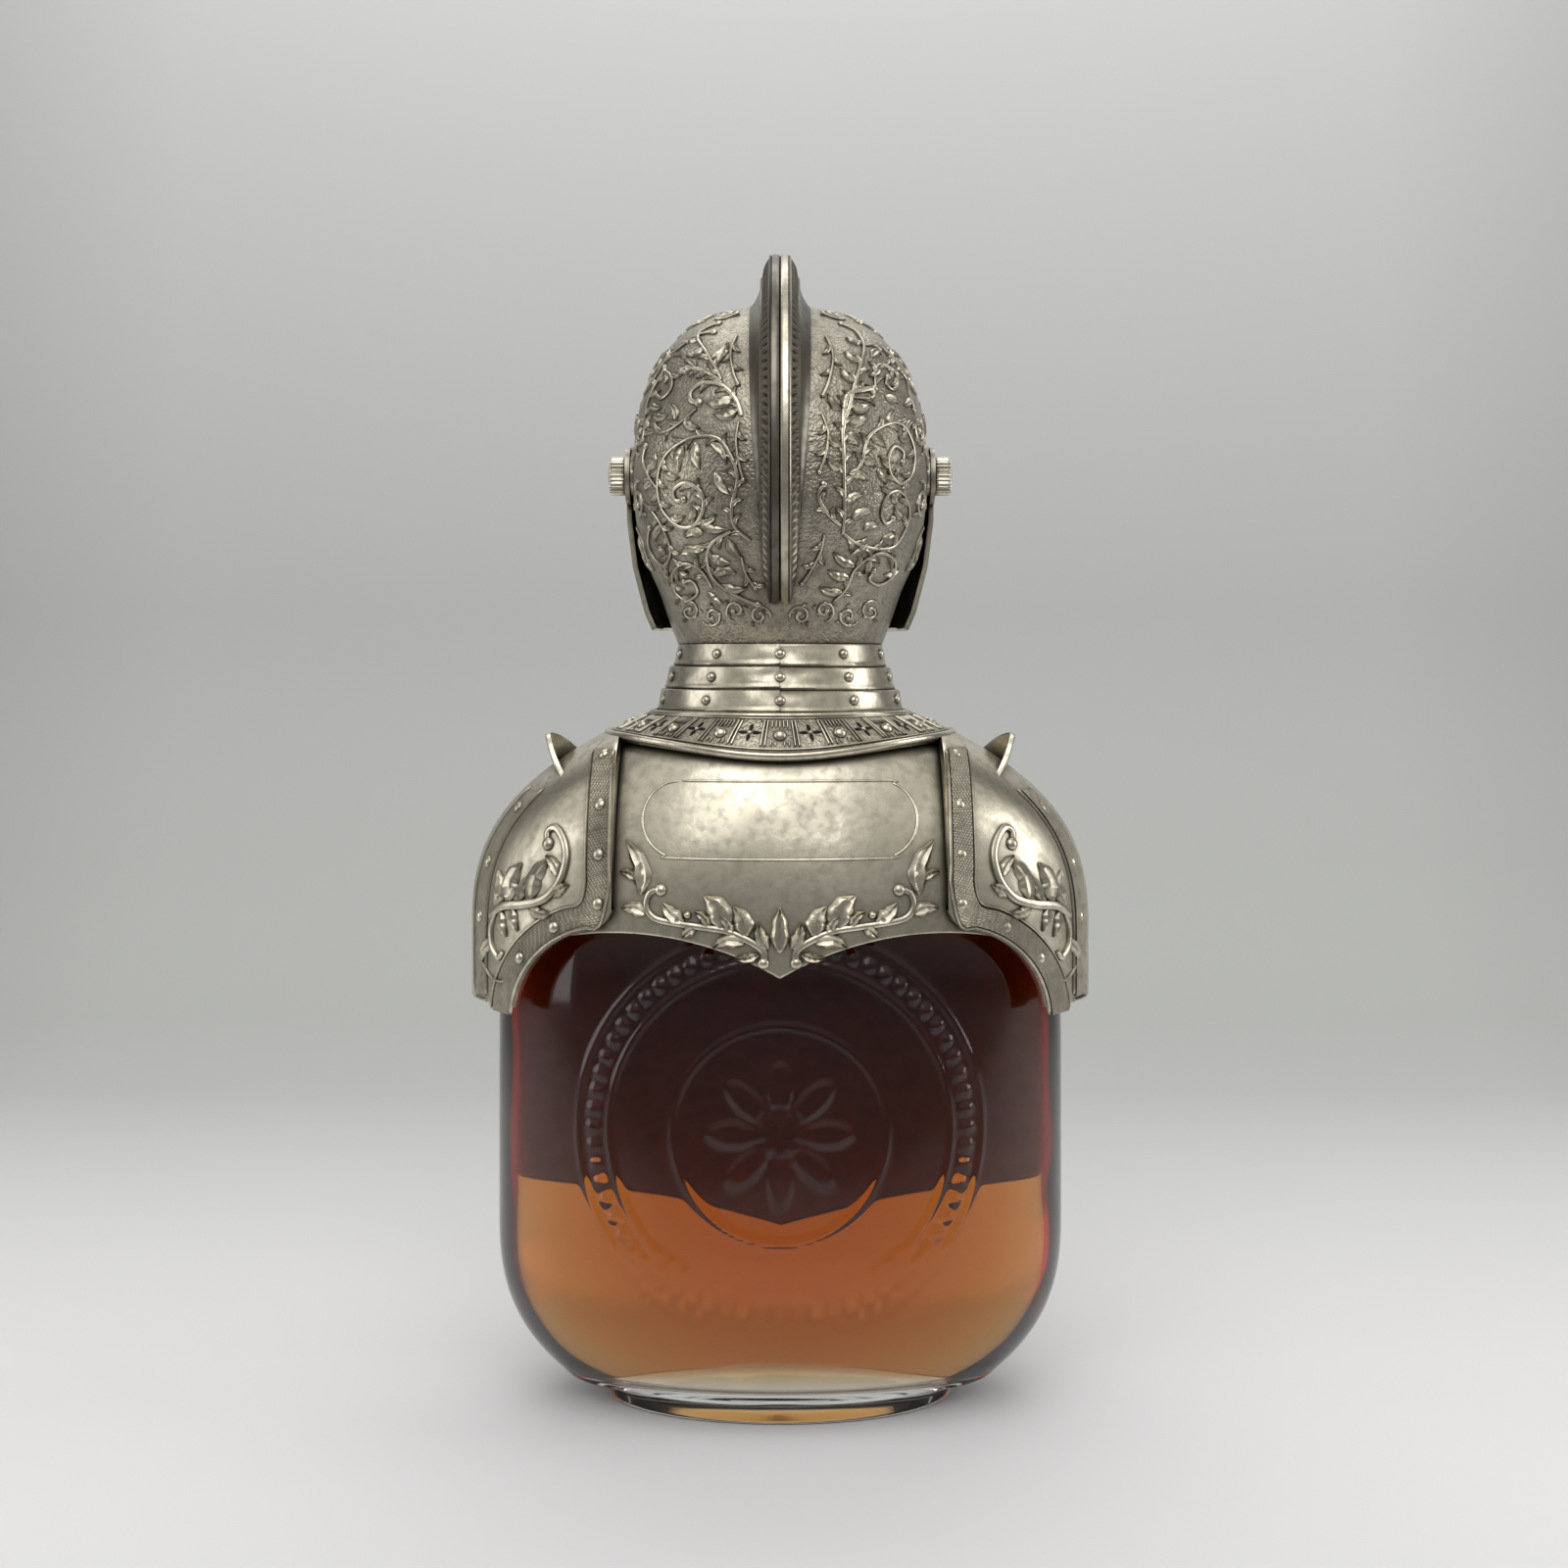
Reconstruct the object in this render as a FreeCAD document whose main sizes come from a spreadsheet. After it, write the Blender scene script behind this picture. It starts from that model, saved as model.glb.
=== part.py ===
"""Figural liquor decanter: an oval glass flask dressed as a knight's bust in armour.

Millimetres. +Z is up, the origin is the centre of the foot's underside, the knight faces -Y
and its left side is +X.
"""
import FreeCAD, Part
import math
import os
import re
import Sketcher

SIZES = {
    # Oval glass flask
    "foot_half_width": 40.7,
    "foot_half_depth": 23.0,
    "foot_height": 5.5,
    "flask_half_width": 66.9,
    "flask_half_depth": 38.0,
    "heel_height": 44.0,
    "heel_inset": 16.5,
    "heel_curve": 2.8,
    "flask_shoulder_line": 70.0,
    "neck_base": 156.0,
    "flask_shoulder_curve": 4.5,
    "neck_radius": 15.0,
    "bore_radius": 11.5,
    "neck_length": 30.0,
    "glass_wall": 3.0,
    "glass_base": 9.0,
    "liquor_drop": 6.0,
    "liquor_clearance": 0.05,
    # Closure
    "neck_ring_gap": 1.6,
    "neck_ring_radius": 17.0,
    "neck_ring_thickness": 2.4,
    "cap_clearance": 0.4,
    "cap_wall": 2.2,
    "cap_crown": 2.0,
    "cap_skirt": 15.0,
    "cap_flute_radius": 0.5,
    "cap_flute_count": 36,
    "liner_thickness": 1.5,
    # Cape of armour
    "plate_wall": 1.6,
    "cape_rise": 5.0,
    "cape_side_gap": 3.0,
    "cape_back_gap": 3.4,
    "cap_room": 4.4,
    "shoulder_line": 108.0,
    "shoulder_curve": 2.85,
    "cape_hem": 28.0,
    "back_hem": 113.5,
    "back_point_drop": 9.3,
    "back_arch_offset": 34.0,
    "front_hem": 47.0,
    "front_point_drop": 13.0,
    "front_arch_offset": 70.0,
    "front_half_width": 62.0,
    "front_side_hem": 97.0,
    # Collar band
    "collar_wall": 1.4,
    "seat_side_margin": 0.6,
    "seat_back_margin": 0.1,
    "collar_side_band": 12.0,
    "collar_back_band": 6.5,
    "stud_count": 18,
    "stud_radius": 1.5,
    "stud_rise": 1.0,
    "stud_band_share": 0.55,
    # Felt ring under the cape
    "seat_ring_drop": 9.0,
    "seat_ring_height": 5.0,
    # Pauldrons
    "plate_gap": 0.2,
    "pauldron_wall": 1.6,
    "pauldron_inner_edge": 37.2,
    "pauldron_hem_lift": 3.0,
    "arm_arch_radius": 23.0,
    "arm_arch_offset": 37.5,
    "arm_arch_height": 91.5,
    "border_width": 6.0,
    "rivet_radius": 1.45,
    "rivet_rise": 0.9,
    "rivet_shank_radius": 0.7,
    "edge_rivet_count": 4,
    "edge_rivet_lift": 6.0,
    "edge_rivet_drop": 8.1,
    "side_rivet_count": 3,
    "side_rivet_lift": 20.5,
    "side_rivet_drop": 20.8,
    "side_rivet_depth": 14.0,
    # Shoulder fins
    "fin_offset": 51.5,
    "fin_root": 4.6,
    "fin_half_length": 19.0,
    "fin_rise": 10.5,
    "fin_thickness": 1.3,
    "fin_lean": 17.0,
    # Gorget
    "gorget_radius": 29.3,
    "lame_count": 3,
    "lame_height": 5.3,
    "lame_taper": 0.95,
    "lame_step": 1.05,
    "gorget_wall": 2.0,
    "gorget_rivet_radius": 0.9,
    "gorget_rivet_rise": 0.6,
    "gorget_rivet_count": 10,
    # Helmet skull
    "pivot_rise": 39.9,
    "skull_half_width": 34.8,
    "skull_radius": 40.2,
    "skull_fullness": 2.45,
    "skull_wall": 1.8,
    "nape_curve": 1.45,
    "nape_blend_drop": 6.2,
    "nape_side_inset": 1.2,
    "nape_back_inset": 1.6,
    "face_half_width": 19.0,
    "face_drop": 19.2,
    "face_rise": 10.8,
    "comb_proud": 5.8,
    "comb_lift": 5.8,
    "comb_shift": 2.2,
    "comb_strip_half": 2.4,
    "comb_rope_half": 5.2,
    "comb_rope_drop": 4.4,
    "comb_foot_half": 9.0,
    "comb_foot_drop": 12.0,
    "comb_brow_rise": 23.8,
    "comb_brow_depth": 12.0,
    "scroll_rib": 0.8,
    # Visor and its pivots
    "visor_wall": 1.2,
    "visor_keel_wall": 1.38,
    "visor_arm_radius": 6.8,
    "visor_arm_rear": 1.36,
    "visor_arm_low": 4.08,
    "visor_arm_high": 6.46,
    "visor_hem_rear": 3.4,
    "visor_cheek_inset": 5.4,
    "visor_cheek_draw": 1.2,
    "visor_keel_proud": 14.8,
    "visor_chin_share": 0.82,
    "visor_chin_rise": 0.3,
    "visor_drop": 36.7,
    "visor_brow_angle": 14.0,
    "sight_height": 4.0,
    "sight_half_length": 21.0,
    "sight_gap": 5.0,
    "sight_drop": 1.5,
    "breath_count": 5,
    "breath_pitch": 4.6,
    "breath_width": 1.8,
    "breath_length": 10.0,
    "breath_drop": 16.0,
    "screw_radius": 2.0,
    "screw_head_radius": 4.0,
    "screw_head_thickness": 1.4,
    "pivot_clearance": 0.05,
    "washer_radius": 5.0,
    "washer_thickness": 0.6,
    "nut_radius": 4.6,
    "nut_length": 4.0,
    "nut_crown": 1.0,
    "knurl_radius": 0.35,
    "knurl_count": 26,
}

# Places and sizes that follow from the ones above
WORKED_OUT = {
    "mouth_height": "neck_base + neck_length",
    "neck_ring_height": "mouth_height - cap_skirt - neck_ring_gap - neck_ring_thickness",
    "liquor_level": "neck_base - liquor_drop",
    "collar_seat": "neck_base + cape_rise",
    "shoulder_half_width": "flask_half_width + cape_side_gap + plate_wall",
    "shoulder_half_depth": "flask_half_depth + cape_back_gap + plate_wall",
    "neckline_half_width": "gorget_radius + seat_side_margin - collar_wall",
    "neckline_half_depth": "gorget_radius + seat_back_margin - collar_wall",
    "collar_half_width": "neckline_half_width + collar_side_band",
    "collar_half_depth": "neckline_half_depth + collar_back_band",
    "neck_opening": "neck_radius + cap_clearance + cap_wall + cap_room",
    "seat_ring_low": "neck_base - seat_ring_drop",
    "pauldron_grow": "plate_gap + pauldron_wall",
    "pauldron_hem": "arm_arch_height + pauldron_hem_lift",
    "edge_rivet_low": "arm_arch_height + arm_arch_radius + edge_rivet_lift",
    "edge_rivet_high": "collar_seat - edge_rivet_drop",
    "edge_rivet_pitch": "(edge_rivet_high - edge_rivet_low) / (edge_rivet_count - 1)",
    "side_rivet_low": "pauldron_hem + side_rivet_lift",
    "side_rivet_high": "collar_seat - side_rivet_drop",
    "side_rivet_pitch": "(side_rivet_high - side_rivet_low) / (side_rivet_count - 1)",
    "shoulder_draw": "shoulder_half_width - neckline_half_width",
    "fin_draw": "shoulder_half_width + pauldron_grow - fin_offset",
    "fin_share": "(fin_draw / shoulder_draw) ^ (1 / shoulder_curve)",
    "fin_seat": "shoulder_line + fin_share * (collar_seat - shoulder_line) + pauldron_grow",
    "fin_base_height": "fin_seat - fin_root",
    "gorget_seat": "collar_seat + collar_wall",
    "gorget_top": "gorget_seat + lame_count * lame_height",
    "gorget_draw": "lame_count * lame_taper + (lame_count - 1) * lame_step",
    "gorget_top_radius": "gorget_radius - gorget_draw",
    "pivot_height": "gorget_top + pivot_rise",
    "nape_blend_height": "pivot_height - nape_blend_drop",
    "nape_blend_half_width": "skull_half_width - nape_side_inset",
    "nape_blend_half_depth": "skull_radius - nape_back_inset",
    "face_low": "pivot_height - face_drop",
    "face_high": "pivot_height + face_rise",
    "comb_radius": "skull_radius + comb_proud",
    "comb_height": "pivot_height + comb_lift",
    "comb_brow": "pivot_height + comb_brow_rise",
    "washer_face": "skull_half_width + pivot_clearance",
    "visor_half_width": "washer_face + washer_thickness + pivot_clearance + visor_wall",
    "visor_cheek_half_width": "skull_half_width - visor_cheek_inset",
    "visor_cheek_reach": "skull_radius - visor_cheek_draw",
    "visor_keel_reach": "skull_radius + visor_keel_proud",
    "screw_seat": "skull_half_width - skull_wall - 2 * pivot_clearance",
    "nut_face": "visor_half_width + pivot_clearance",
    "screw_end": "nut_face + nut_length - nut_crown",
}

# Shares of a rise at which an oval section is drawn, closer where the curve bends most
SHOULDER_SHARES = (0.0, 0.15, 0.3, 0.44, 0.57, 0.68, 0.78, 0.87, 0.94, 1.0)
HEEL_SHARES = (1.0, 0.96, 0.9, 0.8, 0.66, 0.5, 0.3, 0.0)
STRAIGHT_SHARES = (0.0, 0.25, 0.5, 0.75, 0.9)
NAPE_SHARES = (0.0, 0.15, 0.32, 0.52, 0.75, 1.0)
# Main scrolls of the skull's ornament, as shares of its half width and radius: two places and a size
BACK_SCROLLS = ((0.61, -0.14, 0.15), (0.77, 0.37, 0.115), (0.8, -0.4, 0.105), (0.36, -0.56, 0.12),
                (0.58, -0.66, 0.105))
SIDE_SCROLLS = ((0.3, 0.6, 0.15), (0.2, -0.45, 0.135))
CROWN_SCROLLS = ((0.52, 0.15, 0.135), (0.52, -0.25, 0.135), (0.55, -0.62, 0.125))
# Main scrolls of the breastplate, as shares of its half width and of the hem's height: out, up and a size
BREAST_SCROLLS = ((0.24, 1.4, 0.13), (0.54, 1.31, 0.11), (0.24, 1.91, 0.13), (0.55, 1.79, 0.113),
                  (0.24, 2.4, 0.13), (0.55, 2.3, 0.113))
# Angles of the rivets along the arm arch, from the horizontal
ARCH_RIVET_ANGLES = (35.0, 60.0)
# Points along half the skull's profile, and a length past the whole object
PROFILE_STEPS = 24
# Times that a search on the cape is halved
HALVINGS = 40
REACH = 90.0

doc = FreeCAD.newDocument("decanter")
sheet = doc.addObject("Spreadsheet::Sheet", "Sizes")
for row, (alias, number) in enumerate(SIZES.items(), start=1):
    sheet.set(f"A{row}", str(number))
    sheet.setAlias(f"A{row}", alias)
for row, (alias, formula) in enumerate(WORKED_OUT.items(), start=1):
    sheet.set(f"B{row}", f"={formula}")
    sheet.setAlias(f"B{row}", alias)
doc.recompute()

X_AXIS = FreeCAD.Vector(1, 0, 0)
Y_AXIS = FreeCAD.Vector(0, 1, 0)
Z_AXIS = FreeCAD.Vector(0, 0, 1)
ALONG_X = FreeCAD.Rotation(Y_AXIS, 90)
ALONG_Y = FreeCAD.Rotation(X_AXIS, -90)
nodes = []


def at(text):
    """Write an expression with every size's name led by the sheet's name."""
    known = SIZES | WORKED_OUT
    return re.sub(r"[a-z_]+", lambda word: f"Sizes.{word[0]}" if word[0] in known else word[0], text)


def size(alias):
    """Read one size from the sheet."""
    return float(sheet.get(alias))


def bind(thing, **expressions):
    """Tie an object's properties, and its place in x, y and z, to the sheet."""
    for name, text in expressions.items():
        target = f".Placement.Base.{name}" if name in ("x", "y", "z") else name
        thing.setExpression(target, at(str(text)))
    return thing


def node(thing, name):
    """Name a finished sub-part, whose label is its file's name."""
    thing.Label = name
    nodes.append(thing)
    return thing


def cut(name, base, *tools):
    """Take each tool away from the base."""
    for index, tool in enumerate(tools):
        step = doc.addObject("Part::Cut", f"{name}_cut{index}")
        step.Base = base
        step.Tool = tool
        base = step
    return base


def common(name, *shapes):
    """Keep what all the shapes share."""
    shared = doc.addObject("Part::MultiCommon", f"{name}_common")
    shared.Shapes = list(shapes)
    return shared


def fuse(name, *shapes):
    """Join shapes into one."""
    joined = doc.addObject("Part::MultiFuse", f"{name}_fuse")
    joined.Shapes = list(shapes)
    return joined


def mirrored(name, source):
    """Mirror a left-hand piece to the right-hand side."""
    twin = doc.addObject("Part::Mirroring", name)
    twin.Source = source
    twin.Normal = X_AXIS
    return twin


def box(name, x, y, z, length, width, height):
    """Make a box from its lowest corner and its sides."""
    block = doc.addObject("Part::Box", name)
    return bind(block, x=x, y=y, z=z, Length=length, Width=width, Height=height)


def slab(name, low, height):
    """Make a level slab wider than the object."""
    return box(name, f"-{REACH}", f"-{REACH}", low, f"2 * {REACH}", f"2 * {REACH}", height)


def cylinder(name, radius, height, x="0", y="0", z="0", turn=None):
    """Make a cylinder, upright or turned to lie along X or Y."""
    drum = doc.addObject("Part::Cylinder", name)
    if turn:
        drum.Placement.Rotation = turn
    return bind(drum, Radius=radius, Height=height, x=x, y=y, z=z)


def pivot_bar(name, radius, start, length):
    """Make a round bar along the visor's pivot line."""
    return cylinder(name, radius, length, start, "0", "pivot_height", ALONG_X)


def cone(name, low_radius, high_radius, height, z):
    """Make an upright cone."""
    taper = doc.addObject("Part::Cone", name)
    return bind(taper, Radius1=low_radius, Radius2=high_radius, Height=height, z=z)


def oval(name, half_width, half_depth, height, deep=False):
    """Draw a level oval from its right-hand end; a deep one is longer front to back than across."""
    ring = doc.addObject("Part::Ellipse", name)
    ring.Placement.Rotation = FreeCAD.Rotation(Z_AXIS, 90 if deep else 180)
    if deep:
        return bind(ring, MajorRadius=half_depth, MinorRadius=half_width, z=height)
    return bind(ring, MajorRadius=half_width, MinorRadius=half_depth, z=height)


def loft(name, sections, ruled=False):
    """Make a solid through level ovals."""
    skin = doc.addObject("Part::Loft", name)
    skin.Sections = sections
    skin.Solid = True
    skin.Ruled = ruled
    return skin


def plane_of(body, role):
    """Find one of a body's own origin planes."""
    return next(item for item in body.Origin.OriginFeatures if item.Role == role)


def new_sketch(body, role, name):
    """Start a sketch on one of a body's origin planes."""
    sketch = body.newObject("Sketcher::SketchObject", name)
    sketch.AttachmentSupport = [(plane_of(body, role), "")]
    sketch.MapMode = "FlatFace"
    return sketch


def circle_sketch(body, role, name, radius, centre_x="0", centre_y="0"):
    """Sketch a circle whose radius and centre are tied to the sheet."""
    sketch = new_sketch(body, role, name)
    sketch.addGeometry(Part.Circle(FreeCAD.Vector(1, 1, 0), Z_AXIS, 1), False)
    middle = (-1, 1, 0, 3)
    terms = (("Radius", (0,), radius), ("DistanceX", middle, centre_x), ("DistanceY", middle, centre_y))
    for index, (kind, ends, text) in enumerate(terms):
        sketch.addConstraint(Sketcher.Constraint(kind, *ends, 1.0))
        sketch.setExpression(f"Constraints[{index}]", at(text))
    return sketch


def outline_sketch(body, role, name, corners):
    """Sketch a closed outline of straight lines whose corners are tied to the sheet."""
    sketch = new_sketch(body, role, name)
    count = len(corners)
    turns = [2 * math.pi * index / count for index in range(count)]
    start = [FreeCAD.Vector(math.cos(turn), math.sin(turn), 0) for turn in turns]
    for index in range(count):
        sketch.addGeometry(Part.LineSegment(start[index], start[(index + 1) % count]), False)
    for index in range(count):
        sketch.addConstraint(Sketcher.Constraint("Coincident", index, 2, (index + 1) % count, 1))
    number = count
    for index, corner in enumerate(corners):
        for kind, text in zip(("DistanceX", "DistanceY"), corner):
            sketch.addConstraint(Sketcher.Constraint(kind, -1, 1, index, 1, 1.0))
            sketch.setExpression(f"Constraints[{number}]", at(text))
            number += 1
    return sketch


def pad(body, sketch, length, midplane=False):
    """Raise a sketch into a solid."""
    feature = body.newObject("PartDesign::Pad", "Raised")
    feature.Profile = sketch
    feature.setExpression("Length", at(length))
    if midplane:
        feature.SideType = "Symmetric"
    return feature


def turned(body, sketch, axis):
    """Turn a sketch about one of its own axes into a solid of revolution."""
    feature = body.newObject("PartDesign::Revolution", "Turned")
    feature.Profile = sketch
    feature.ReferenceAxis = (sketch, [axis])
    feature.Angle = 360
    return feature


def grooves_round(body, groove_sketch, length, axis, count, reverse):
    """Cut one straight groove and repeat it round an axis."""
    groove = body.newObject("PartDesign::Pocket", "Groove")
    groove.Profile = groove_sketch
    groove.setExpression("Length", at(length))
    groove.Reversed = reverse
    pattern = body.newObject("PartDesign::PolarPattern", "Grooves")
    pattern.Originals = [groove]
    pattern.Axis = (groove_sketch, [axis])
    pattern.Angle = 360
    pattern.setExpression("Occurrences", at(count))
    body.Tip = pattern
    return pattern


def flask_loft(name, inset, floor, rise_end, top_radius):
    """Loft the flask's ovals from its floor to its neck, drawn in by an inset."""
    wide = f"(flask_half_width - {inset})"
    deep = f"(flask_half_depth - {inset})"
    sections = []
    for share in HEEL_SHARES:
        drawn_in = f"heel_inset * {share} ^ heel_curve"
        height = f"heel_height - {share} * (heel_height - {floor})"
        sections.append(oval(f"{name}_heel", f"{wide} - {drawn_in}", f"{deep} - {drawn_in}", height))
    for share in SHOULDER_SHARES:
        drawn_in = f"{share} ^ flask_shoulder_curve"
        height = f"flask_shoulder_line + {share} * ({rise_end} - flask_shoulder_line)"
        width = f"{wide} - ({wide} - {top_radius}) * {drawn_in}"
        depth = f"{deep} - ({deep} - {top_radius}) * {drawn_in}"
        sections.append(oval(f"{name}_shoulder", width, depth, height))
    return loft(name, sections)


def cape_loft(name, grow):
    """Loft the armour's ovals from its hem to its neckline, moved outwards by an amount."""
    wide = f"shoulder_half_width + {grow}"
    deep = f"shoulder_half_depth + {grow}"
    sections = []
    for share in STRAIGHT_SHARES:
        height = f"cape_hem + {share} * (shoulder_line - cape_hem) + {grow}"
        sections.append(oval(f"{name}_side", wide, deep, height))
    for share in SHOULDER_SHARES:
        drawn_in = f"{share} ^ shoulder_curve"
        height = f"shoulder_line + {share} * (collar_seat - shoulder_line) + {grow}"
        width = f"{wide} - (shoulder_half_width - neckline_half_width) * {drawn_in}"
        depth = f"{deep} - (shoulder_half_depth - neckline_half_depth) * {drawn_in}"
        sections.append(oval(f"{name}_shoulder", width, depth, height))
    return loft(name, sections)


def oval_drum(name, half_width, half_depth, low, height):
    """Make an upright drum with an oval section."""
    drum = doc.addObject("Part::Extrusion", name)
    drum.Base = oval(f"{name}_rim", half_width, half_depth, low)
    drum.DirMode = "Custom"
    drum.Dir = Z_AXIS
    drum.Solid = True
    return bind(drum, LengthFwd=height)


def hem_arches(name, hem, drop, offset):
    """Make the two drums whose rounds meet in a plate's pointed hem."""
    radius = f"( {offset} ^ 2 + {drop} ^ 2 ) / ( 2 * {drop} )"
    start = "0" if name == "back" else f"-{REACH}"
    drums = []
    for side in (1, -1):
        across = f"{side} * {offset}"
        height = f"{hem} - {radius}"
        drums.append(cylinder(f"{name}_arch", radius, f"{REACH}", across, start, height, ALONG_Y))
    return drums


def cape_point(share, turn, grow):
    """Find a point on the cape at a share of the shoulder's rise and a turn from +X."""
    drawn_in = share ** size("shoulder_curve")
    wide = size("shoulder_half_width")
    deep = size("shoulder_half_depth")
    width = wide - (wide - size("neckline_half_width")) * drawn_in + grow
    depth = deep - (deep - size("neckline_half_depth")) * drawn_in + grow
    height = size("shoulder_line") + share * (size("collar_seat") - size("shoulder_line")) + grow
    return FreeCAD.Vector(width * math.cos(turn), depth * math.sin(turn), height)


def cape_normal(share, turn, grow):
    """Find the outward normal of the cape at the same place."""
    step = 1e-3
    up = cape_point(share + step, turn, grow) - cape_point(share - step, turn, grow)
    round_about = cape_point(share, turn + step, grow) - cape_point(share, turn - step, grow)
    return round_about.cross(up).normalize()


def cape_share(height, grow):
    """Find the share of the shoulder's rise that lies at a height, not below the shoulder line."""
    rise = size("collar_seat") - size("shoulder_line")
    return max((height - grow - size("shoulder_line")) / rise, 0.002)


def dome(point, normal, radius, rise):
    """Make a domed head that stands on a surface, touching it at its middle."""
    ball = (radius ** 2 + rise ** 2) / (2 * rise)
    rim = math.degrees(math.asin((ball - rise) / ball))
    return Part.makeSphere(ball, point + normal * (rise - ball), normal, rim, 90, 360)


def scroll_ring(place, first, second, reach):
    """Make the raised ring of a scroll, half sunk in a surface, and its twin on the right."""
    step = 0.01
    along = place(first + step, second) - place(first - step, second)
    up = place(first, second + step) - place(first, second - step)
    normal = along.cross(up).normalize()
    ring = Part.makeTorus(reach, size("scroll_rib"), place(first, second), normal)
    return [ring, ring.mirror(FreeCAD.Vector(0, 0, 0), X_AXIS)]


def shape_feature(name, shape):
    """Hold a worked-out shape in the document."""
    feature = doc.addObject("Part::Feature", name)
    feature.Shape = shape
    return feature


# Glass flask and the liquor in it
flask_outer = flask_loft("flask_outer", "0", "foot_height", "neck_base", "neck_radius")
shoulder_inside = "(neck_base - glass_wall)"
flask_inner = flask_loft("flask_inner", "glass_wall", "glass_base", shoulder_inside, "bore_radius")
foot = oval_drum("foot", "foot_half_width", "foot_half_depth", "0", "foot_height + glass_wall / 2")
neck_start = "neck_base - glass_wall"
neck = cylinder("neck", "neck_radius", f"mouth_height - ({neck_start})", z=neck_start)
neck_ring = cylinder("neck_ring", "neck_ring_radius", "neck_ring_thickness", z="neck_ring_height")
bore_start = "neck_base - 2 * glass_wall"
bore = cylinder("bore", "bore_radius", f"mouth_height - ({bore_start}) + glass_wall", z=bore_start)
flask_solid = fuse("flask", flask_outer, foot, neck, neck_ring)
node(cut("glass_bottle", flask_solid, flask_inner, bore), "glass_bottle")

liquor_inset = "(glass_wall + liquor_clearance)"
liquor_floor = "(glass_base + liquor_clearance)"
liquor_neck = "(bore_radius - liquor_clearance)"
liquor_space = flask_loft("liquor_space", liquor_inset, liquor_floor, shoulder_inside, liquor_neck)
above_level = slab("above_level", "liquor_level", f"{REACH}")
node(cut("liquor", liquor_space, above_level), "liquor_fill")

# Closure: a fluted cap with a sealing disc
liner = cylinder("liner", "neck_radius", "liner_thickness", z="mouth_height")
node(liner, "cap_liner")
cap_body = doc.addObject("PartDesign::Body", "screw_cap")
cap_inside = "( neck_radius + cap_clearance )"
cap_outside = f"( {cap_inside} + cap_wall )"
cap_ceiling = "( mouth_height + liner_thickness )"
cap_profile = outline_sketch(cap_body, "XZ_Plane", "cap_profile", (
    ("0", cap_ceiling),
    (cap_inside, cap_ceiling),
    (cap_inside, "mouth_height - cap_skirt"),
    (cap_outside, "mouth_height - cap_skirt"),
    (cap_outside, f"{cap_ceiling} + cap_crown"),
    ("0", f"{cap_ceiling} + cap_crown")))
turned(cap_body, cap_profile, "V_Axis")
doc.recompute()
flute = circle_sketch(cap_body, "XY_Plane", "flute", "cap_flute_radius", cap_outside)
grooves_round(cap_body, flute, f"{cap_ceiling} + cap_crown", "N_Axis", "cap_flute_count", True)
node(cap_body, "screw_cap")

# Cape of armour: one thin shell parted into a backplate and a breastplate
cape_outer = cape_loft("cape_outer", "0")
cape_inner = cape_loft("cape_inner", "0 - plate_wall")
neck_opening = cylinder("neck_opening", "neck_opening", f"2 * {REACH}", z="shoulder_line")
cape_shell = cut("cape", cape_outer, cape_inner, neck_opening)
back_half = box("back_half", f"-{REACH}", "0", "0", f"2 * {REACH}", f"{REACH}", f"3 * {REACH}")
front_half = box("front_half", f"-{REACH}", f"-{REACH}", "0", f"2 * {REACH}", f"{REACH}", f"3 * {REACH}")
back_arches = hem_arches("back", "back_hem", "back_point_drop", "back_arch_offset")
node(cut("backplate", common("back", cape_shell, back_half), *back_arches), "backplate")

front_arches = hem_arches("front", "front_hem", "front_point_drop", "front_arch_offset")
front_sides = []
for start in ("front_half_width", f"0 - front_half_width - {REACH}"):
    side = box("front_side", start, f"-{REACH}", "0", f"{REACH}", f"2 * {REACH}", "front_side_hem")
    front_sides.append(side)
front_plate = cut("front_plate", common("front", cape_shell, front_half), *front_arches, *front_sides)


def breast_place(across, height):
    """Find the point on the breastplate at a distance from the middle and a height."""
    rise = size("collar_seat") - size("shoulder_line")
    share = max((height - size("shoulder_line")) / rise, 0)
    turn = math.acos(across / cape_point(share, 0, 0).x)
    point = cape_point(share, -turn, 0)
    return FreeCAD.Vector(point.x, point.y, height)


breast_scrolls = []
for out, up, reach in BREAST_SCROLLS:
    half = size("front_half_width")
    breast_scrolls += scroll_ring(breast_place, out * half, up * size("front_hem"), reach * half)
breast_rings = shape_feature("breast_scrolls", Part.makeCompound(breast_scrolls))
breast_ridge = cylinder("breast_ridge", "1.25 * scroll_rib", "shoulder_line - front_hem", "0",
                        "0 - shoulder_half_depth", "front_hem")
node(fuse("breastplate", front_plate, breast_rings, breast_ridge), "breastplate")

# Felt ring that fills the space between the glass shoulder and the cape
ring_zone = slab("ring_zone", "seat_ring_low", "seat_ring_height")
node(cut("seat_ring", common("ring", ring_zone, cape_inner), flask_outer, neck), "seat_ring")

# Collar band with its flat seat for the helmet
collar_outer = cape_loft("collar_outer", "collar_wall")
collar_drum = oval_drum("collar_drum", "collar_half_width", "collar_half_depth", "shoulder_line", f"{REACH}")
collar_shell = common("collar", cut("collar_shell", collar_outer, cape_outer), collar_drum)
node(cut("collar", collar_shell, neck_opening), "collar")

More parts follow.
